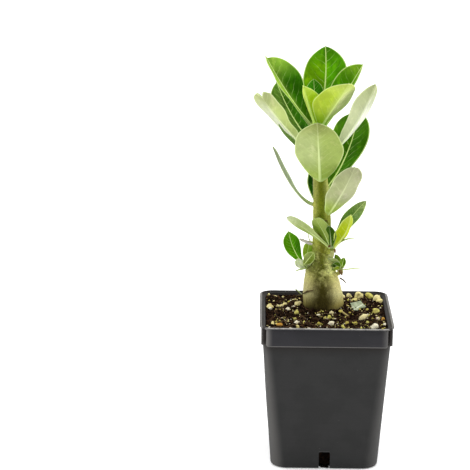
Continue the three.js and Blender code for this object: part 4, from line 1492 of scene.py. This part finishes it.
def leaf_piece(leaf, rows, columns):
    """A grid laid on the leaf's sheet, thickened, with its rib, stalk, thin margin and colours."""
    piece = added(bpy.ops.mesh.primitive_grid_add, x_subdivisions=rows, y_subdivisions=columns, size=2)
    grid = points_of(piece) * MM
    s, t = (grid[:, 0] + 1) / 2, grid[:, 1]
    middle, wide, length = leaf_sheet(leaf, s, t)

    def sheet(ahead, aside):
        return leaf_sheet(leaf, np.clip(s + ahead, 0, 1), np.clip(t + aside, -1, 1))[0]

    nudge = 1e-3
    normal = unit(np.cross(sheet(nudge, 0) - sheet(-nudge, 0), sheet(0, nudge) - sheet(0, -nudge)))
    move_points(piece, middle)
    for side in ("leaf_upper", "leaf_under"):
        piece.data.materials.append(bpy.data.materials[side])
    apply_modifier(piece, "SOLIDIFY", thickness=0.5 * MM, offset=0, material_offset=1, material_offset_rim=1)

    large = leaf.width >= LARGE_LEAF
    thick = settings().leaves.thickness / MM if large else 0.55
    stalk = 2.3 if large else min(1.5, 0.24 * leaf.width)
    rib = 1.0 if large else 0.35
    from_rib = np.abs(t) * wide
    at_stalk = np.exp(-((s / 0.16) ** 2))
    body = thick * (1 - 0.55 * np.abs(t) ** 8) + (stalk - thick) * at_stalk * (1 - 0.7 * t * t)
    rib_form = np.exp(-((from_rib / (0.95 - 0.55 * s)) ** 2)) * (1 - 0.75 * s)
    upper = middle + normal * (body / 2 - 0.16 * rib_form * (1 - at_stalk))[:, None]
    lower = middle - normal * (body / 2 + rib * rib_form * (1 - 0.5 * at_stalk))[:, None]
    faces_front = (normal @ np.array([0, -1, 0.26]) * wide).sum() > 0
    upper_paint = leaf_paint(leaf.front if faces_front else PLAIN_UPPER, s, t)
    lower_paint = leaf_paint(leaf.away if faces_front else leaf.front, s, t)
    blade = np.stack([s * length, t * wide, (1 - np.abs(t)) * wide], 1)
    blade[:, 2] = np.minimum(blade[:, 2], (1 - s) * length)
    blade *= 1 if large else SMALL_VEINS

    sides = [(upper, upper_paint), (lower, lower_paint)]
    if ((points_of(piece)[: len(s)] - middle) * normal).sum() <= 0:
        sides.reverse()
        index = np.zeros(len(piece.data.polygons), np.int32)
        piece.data.polygons.foreach_get("material_index", index)
        piece.data.polygons.foreach_set("material_index", 1 - index)
    points, paints = (np.concatenate(both) for both in zip(*sides))
    move_points(piece, points)
    write_attribute(piece, "blade", np.concatenate([blade, blade]))
    write_attribute(piece, "paint", paints)
    return piece


class ROSE_OT_large_leaves(bpy.types.Operator):
    """Model the large leaves of the upper stem, each a piece of its own"""

    bl_idname = "rose.large_leaves"
    bl_label = "Large leaves"

    def execute(self, context):
        leaves = settings().leaves
        leaf_side("leaf_upper", leaves.upper_vein, 0.1, 0.85, 0.8, 0.32, 0.24, 0.42, 0.02)
        leaf_side("leaf_under", leaves.under_vein, 0.55, 0.90, 0.25, 0.42, 0.10, 0.60, 0.01)
        for name, leaf in LEAVES.items():
            node = None if name == "behind_fold" else "leaf_" + name
            finished(leaf_piece(leaf, *LARGE_GRID), "blade_" + name, node, angle=70)
        return {"FINISHED"}


def heart_scales(x, y, z, radius, chance):
    """Small pointed scales packed round the heart of a shoot."""
    made = []
    for k in range(HEART_SCALES):
        a = math.radians(50 * k + chance.uniform(-15, 15))
        out = radius * chance.uniform(1.3, 2.1)
        root = (x + 0.3 * math.cos(a), y + 0.3 * math.sin(a), z - 0.4 * radius)
        tip = (x + out * math.cos(a), y + out * math.sin(a), z + radius * chance.uniform(0.6, 1.9))
        colours = chance.choice(SCALE_COLOURS)
        scale = leaf_form(root, tip, radius * 0.8, 0.7, 0.9, colours, bow=-0.3, fold=20)
        made.append(leaf_piece(scale, *SCALE_GRID))
    return made


class ROSE_OT_side_shoots(bpy.types.Operator):
    """Model the three side shoots, each with its small leaves and heart"""

    bl_idname = "rose.side_shoots"
    bl_label = "Side shoots"

    def execute(self, context):
        chance = random.Random(SCALE_SEED)
        for name, ((x, y, z, radius), leaves) in SHOOTS.items():
            grids = [SLIM_GRID if leaf.width < SLIM_LEAF else SMALL_GRID for leaf in leaves]
            parts = [leaf_piece(leaf, *grid) for leaf, grid in zip(leaves, grids)]
            parts += heart_scales(x, y, z, radius, chance)
            heart = ball(x, y, z, radius * 0.95)
            count = len(heart.data.vertices)
            heart.data.materials.append(bpy.data.materials["leaf_under"])
            write_attribute(heart, "blade", np.full((count, 3), 5.0))
            write_attribute(heart, "paint", np.tile(LEAF_DIM * pigment(HEART_GREEN), (count, 1)))
            finished(join([heart, *parts]), "spray_" + name, "shoot_" + name, angle=70)
        return {"FINISHED"}


# Loose things on the soil

SCRAP_EDGE = [
    (19.5, 13.5), (21, 15), (23, 17), (25.2, 19.4), (28, 22.5), (28.8, 20.2), (30, 17.5), (30.9, 13),
    (31.5, 9), (30.2, 7.4), (29, 6.5), (27.8, 7.6), (26.5, 8.5), (25.8, 5), (24.5, 1.5), (23.4, 2.6),
    (22, 4), (21.4, 6.6), (20.5, 9), (20.2, 11.4),
]
SCRAP_MIDDLE = (25.5, 11)
SCRAP_THICK = 0.55
SCRAP_LIFT = 1.4  # how high the scrap lies over the soil, on the crumbs


def leaf_scrap():
    """A torn dry piece of leaf: its outline filled, cut fine, creased along its rib and thickened."""
    piece = mesh_piece([(x, y, 0) for x, y in SCRAP_EDGE], [tuple(range(len(SCRAP_EDGE)))])
    edit(piece)
    bpy.ops.mesh.select_all(action="SELECT")
    bpy.ops.mesh.quads_convert_to_tris()
    bpy.ops.mesh.subdivide(number_cuts=5)
    bpy.ops.object.mode_set(mode="OBJECT")
    points = points_of(piece)
    cx, cy = SCRAP_MIDDLE
    x, y = points[:, 0] - cx, points[:, 1] - cy
    from_rib = x * 0.86 - y * 0.5 - 0.4
    crease = 0.30 * np.abs(from_rib) - 0.12 * np.exp(-((from_rib / 0.7) ** 2))
    height = over_soil(cx, cy, SCRAP_LIFT)[2] + 0.05 * y - 0.04 * x
    points[:, 2] = height + crease + 0.25 * field(points, 4.0, 2.2)
    move_points(piece, points)
    apply_modifier(piece, "SOLIDIFY", thickness=SCRAP_THICK * MM, offset=0)
    return piece


def scrap_finish():
    """Dry grey-green leaf with a pale rib."""
    material, place = new_material("dry_leaf")
    x, y, _ = split(place)
    cx, cy = SCRAP_MIDDLE
    from_rib = abs(x * 0.86 - y * 0.5 + (-cx * 0.86 + cy * 0.5 - 0.4))
    tooth, mottle, relief = surface_grain(place, 2.0, 0.35)
    colour = painted(
        (0.23, 0.27, 0.17),
        (mottle, (0.38, 0.42, 0.28)),
        (ramp(from_rib, 0.9, 0.3), (0.62, 0.66, 0.50)),
        (ramp(tooth, 0.4, 1.0) * 0.35, (0.16, 0.19, 0.11)),
    )
    return finish(material, colour, 0.6, 0.1, relief, 0.15)


# Two colours of each dried finish
DRIED = {
    "dry_straw": ((0.46, 0.36, 0.12), (0.62, 0.52, 0.22)),
    "dry_twig_bark": ((0.07, 0.045, 0.02), (0.16, 0.12, 0.05)),
    "dry_stub": ((0.42, 0.40, 0.32), (0.62, 0.60, 0.52)),
    "dry_bud": ((0.10, 0.055, 0.015), (0.26, 0.17, 0.06)),
    "bare_stalk": ((0.30, 0.36, 0.05), (0.45, 0.50, 0.12)),
    "shoot_foot": ((0.32, 0.34, 0.09), (0.56, 0.58, 0.24)),
}
# The dry stick and the twig: x, y and height over the soil of points along each
STICK = [(10.7, -2.5, 1.2), (14.4, -6, 1.2), (18.2, -9.9, 0.9)]
TWIG = [(-11.5, 37.5, 2.4), (-14.5, 38.5, 2.0), (-18, 40, 1.5), (-22, 41, 1.2)]
FLAKE_COLOURS = ((176, 190, 160), (160, 176, 140), (150, 160, 120), (190, 200, 180))
FLAKE = leaf_form((-16.4, 43.2, 111.6), (-22, 42, 117), 4.8, 0.8, 0.6, FLAKE_COLOURS, fold=12)
# Pieces made of rods: name, slot, node it stands for, finish, and the points and radii of each rod
RODS = [
    ("straw_stick", "dried_plant", "dry_stick", "dry_straw", [
        ([over_soil(*p) for p in STICK], (0.4, 0.65, 0.55, 0.3)),
    ]),
    ("bent_twig", "dried_plant", "dry_twig", "dry_twig_bark", [
        ([over_soil(*p) for p in TWIG], (0.5, 0.75, 0.7, 0.4)),
    ]),
    ("dried_stub", "dried_plant", None, "dry_stub", [
        ([(-10.6, 8, 163.4), (-14.5, 8, 164.6), (-18.5, 8, 166.2), (-20.2, 8, 167)], (1.4, 1.3, 1.1, 0.7)),
    ]),
    ("dried_buds", "dried_plant", None, "dry_bud", [
        ([(10.4, 9.3, 143.2), (11.6, 8.0, 141.2), (12.6, 7.4, 138.6)], (0.8, 1.5, 1.2, 0.35)),
        ([(5.2, 4.6, 161.6), (6.2, 4.2, 159.7), (6.9, 4.0, 157.4)], (0.6, 1.1, 0.9, 0.25)),
        ([(1.4, 2.2, 162.4), (2.6, 1.6, 163.6), (3.4, 1.8, 165.4)], (0.4, 1.0, 0.7, 0.2)),
        ([(-2.2, 5.0, 182), (-0.7, 4.9, 182.4), (0.8, 5.2, 181.8)], (0.2, 0.5, 0.2)),
    ]),
    ("dark_threads", "dried_plant", None, "dry_twig_bark", [
        ([(11, 8, 136.5), (13.4, 8, 135), (15.7, 8, 132.6)], (0.65, 0.55, 0.35)),
        (
            [(-9.6, -1.2, 129.2), (-12.2, 0.5, 128.2), (-14.3, 3.3, 126.8), (-17.0, 8, 123.6)],
            (0.2, 0.7, 0.85, 0.4),
        ),
    ]),
    ("shoot_foot", "bark", None, "shoot_foot", [
        ([(1.8, 6.4, 150), (3.4, 5.4, 154), (4.4, 4.9, 158), (4.4, 4.8, 161)], (1.6, 2.3, 2.1, 1.2)),
    ]),
    ("bare_stalk", "dried_plant", None, "bare_stalk", [
        ([(-10.6, 7, 164.6), (-12.8, 7, 166.6), (-14, 7, 171.2)], (0.5, 0.4, 0.3)),
    ]),
]


class ROSE_OT_loose_things(bpy.types.Operator):
    """Model the torn leaf, the dry stick, the twig and the dried stubs on the stem"""

    bl_idname = "rose.loose_things"
    bl_label = "Loose things"

    def execute(self, context):
        finishes = {name: dried(name, base, light) for name, (base, light) in DRIED.items()}
        finished(leaf_scrap(), "torn_leaf", "fallen_leaf_scrap", scrap_finish(), 45)
        for name, slot, node, finish_name, rods in RODS:
            piece = join([rod(points, radii) for points, radii in rods])
            piece.data.materials.append(finishes[finish_name])
            if name == "bent_twig":
                join([piece, leaf_piece(FLAKE, *FLAKE_GRID)])
            finished(piece, name, node)
        return {"FINISHED"}


# Stage

def link(name, data):
    """A lamp or a camera in the scene."""
    thing = bpy.data.objects.new(name, data)
    bpy.context.scene.collection.objects.link(thing)
    return thing


def area_light(name, place, wide, high, watts):
    """A soft light at a place in metres, turned to the middle of the plant."""
    light = bpy.data.lights.new(name, "AREA")
    light.shape = "RECTANGLE"
    light.size, light.size_y, light.energy = wide, high, watts
    lamp = link(name, light)
    lamp.location = place
    lamp.rotation_euler = (Vector((0, 0, 0.16)) - Vector(place)).to_track_quat("-Z", "Y").to_euler()


class ROSE_OT_stage(bpy.types.Operator):
    """Set the plain pale floor, the soft studio lights and the camera"""

    bl_idname = "rose.stage"
    bl_label = "Stage"

    def execute(self, context):
        stage = settings().stage
        floor = added(bpy.ops.mesh.primitive_plane_add, size=24)
        floor.name = "pale_floor"
        material = bpy.data.materials.new("pale_floor")
        material.use_nodes = True
        finish(material, stage.floor, 1.0, 0.0)
        shader = principled(material)
        shader.inputs["Emission Color"].default_value = (1, 1, 1, 1)
        shader.inputs["Emission Strength"].default_value = stage.glow
        floor.data.materials.append(material)

        world = bpy.data.worlds.new("studio")
        world.use_nodes = True
        back = world.node_tree.nodes["Background"]
        back.inputs["Color"].default_value = (1, 1, 1, 1)
        ahead = split(add("TexCoord", {}, "Generated", world.node_tree))[1]
        put(back.inputs["Strength"], ramp(ahead, -0.9, 0.1, stage.front, stage.sky))
        context.scene.world = world

        sun = bpy.data.lights.new("soft_sun", "SUN")
        sun.energy = stage.sun
        sun.angle = math.radians(50)
        link("soft_sun", sun).rotation_euler = (math.radians(-12), math.radians(8), 0)
        area_light("left_light", (-0.75, 0.25, 0.45), 0.5, 0.9, stage.sides)
        area_light("right_light", (0.8, 0.2, 0.40), 0.5, 0.9, stage.sides)
        area_light("top_light", (-0.25, -0.35, 1.1), 0.5, 0.5, stage.sides * 0.9)

        camera = bpy.data.cameras.new("camera")
        camera.lens = stage.focal
        camera.sensor_width = 36
        camera.clip_start, camera.clip_end = 0.05, 60
        eye = link("camera", camera)
        turn = Matrix.Rotation(math.radians(CAMERA_YAW), 4, "Z")
        turn = turn @ Matrix.Rotation(math.radians(90 - CAMERA_PITCH), 4, "X")
        turn = turn @ Matrix.Rotation(math.radians(CAMERA_ROLL), 4, "Z")
        eye.matrix_world = Matrix.Translation(Vector(CAMERA_PLACE) * MM) @ turn
        context.scene.camera = eye
        context.scene.view_settings.view_transform = "Standard"
        return {"FINISHED"}


# Add-on

OPERATORS = [
    ROSE_OT_stage, ROSE_OT_pot, ROSE_OT_stem, ROSE_OT_soil, ROSE_OT_granules, ROSE_OT_fibres,
    ROSE_OT_large_leaves, ROSE_OT_side_shoots, ROSE_OT_loose_things,
]


class ROSE_PT_panel(bpy.types.Panel):
    """The steps of the desert rose"""

    bl_idname = "ROSE_PT_panel"
    bl_label = "Desert rose"
    bl_space_type = "VIEW_3D"
    bl_region_type = "UI"
    bl_category = "Desert rose"

    def draw(self, context):
        for step in OPERATORS:
            self.layout.operator(step.bl_idname)


GROUPS = [ROSE_PG_pot, ROSE_PG_soil, ROSE_PG_stem, ROSE_PG_leaves, ROSE_PG_stage, ROSE_PG_settings]
CLASSES = GROUPS + OPERATORS + [ROSE_PT_panel]


def register():
    for cls in CLASSES:
        bpy.utils.register_class(cls)
    bpy.types.Scene.desert_rose = PointerProperty(type=ROSE_PG_settings)


def unregister():
    del bpy.types.Scene.desert_rose
    for cls in reversed(CLASSES):
        bpy.utils.unregister_class(cls)


def main():
    register()
    bpy.ops.rose.stage()
    bpy.ops.rose.pot()
    bpy.ops.rose.stem()
    bpy.ops.rose.soil()
    bpy.ops.rose.granules()
    bpy.ops.rose.fibres()
    bpy.ops.rose.large_leaves()
    bpy.ops.rose.side_shoots()
    bpy.ops.rose.loose_things()


if __name__ == "__main__":
    main()
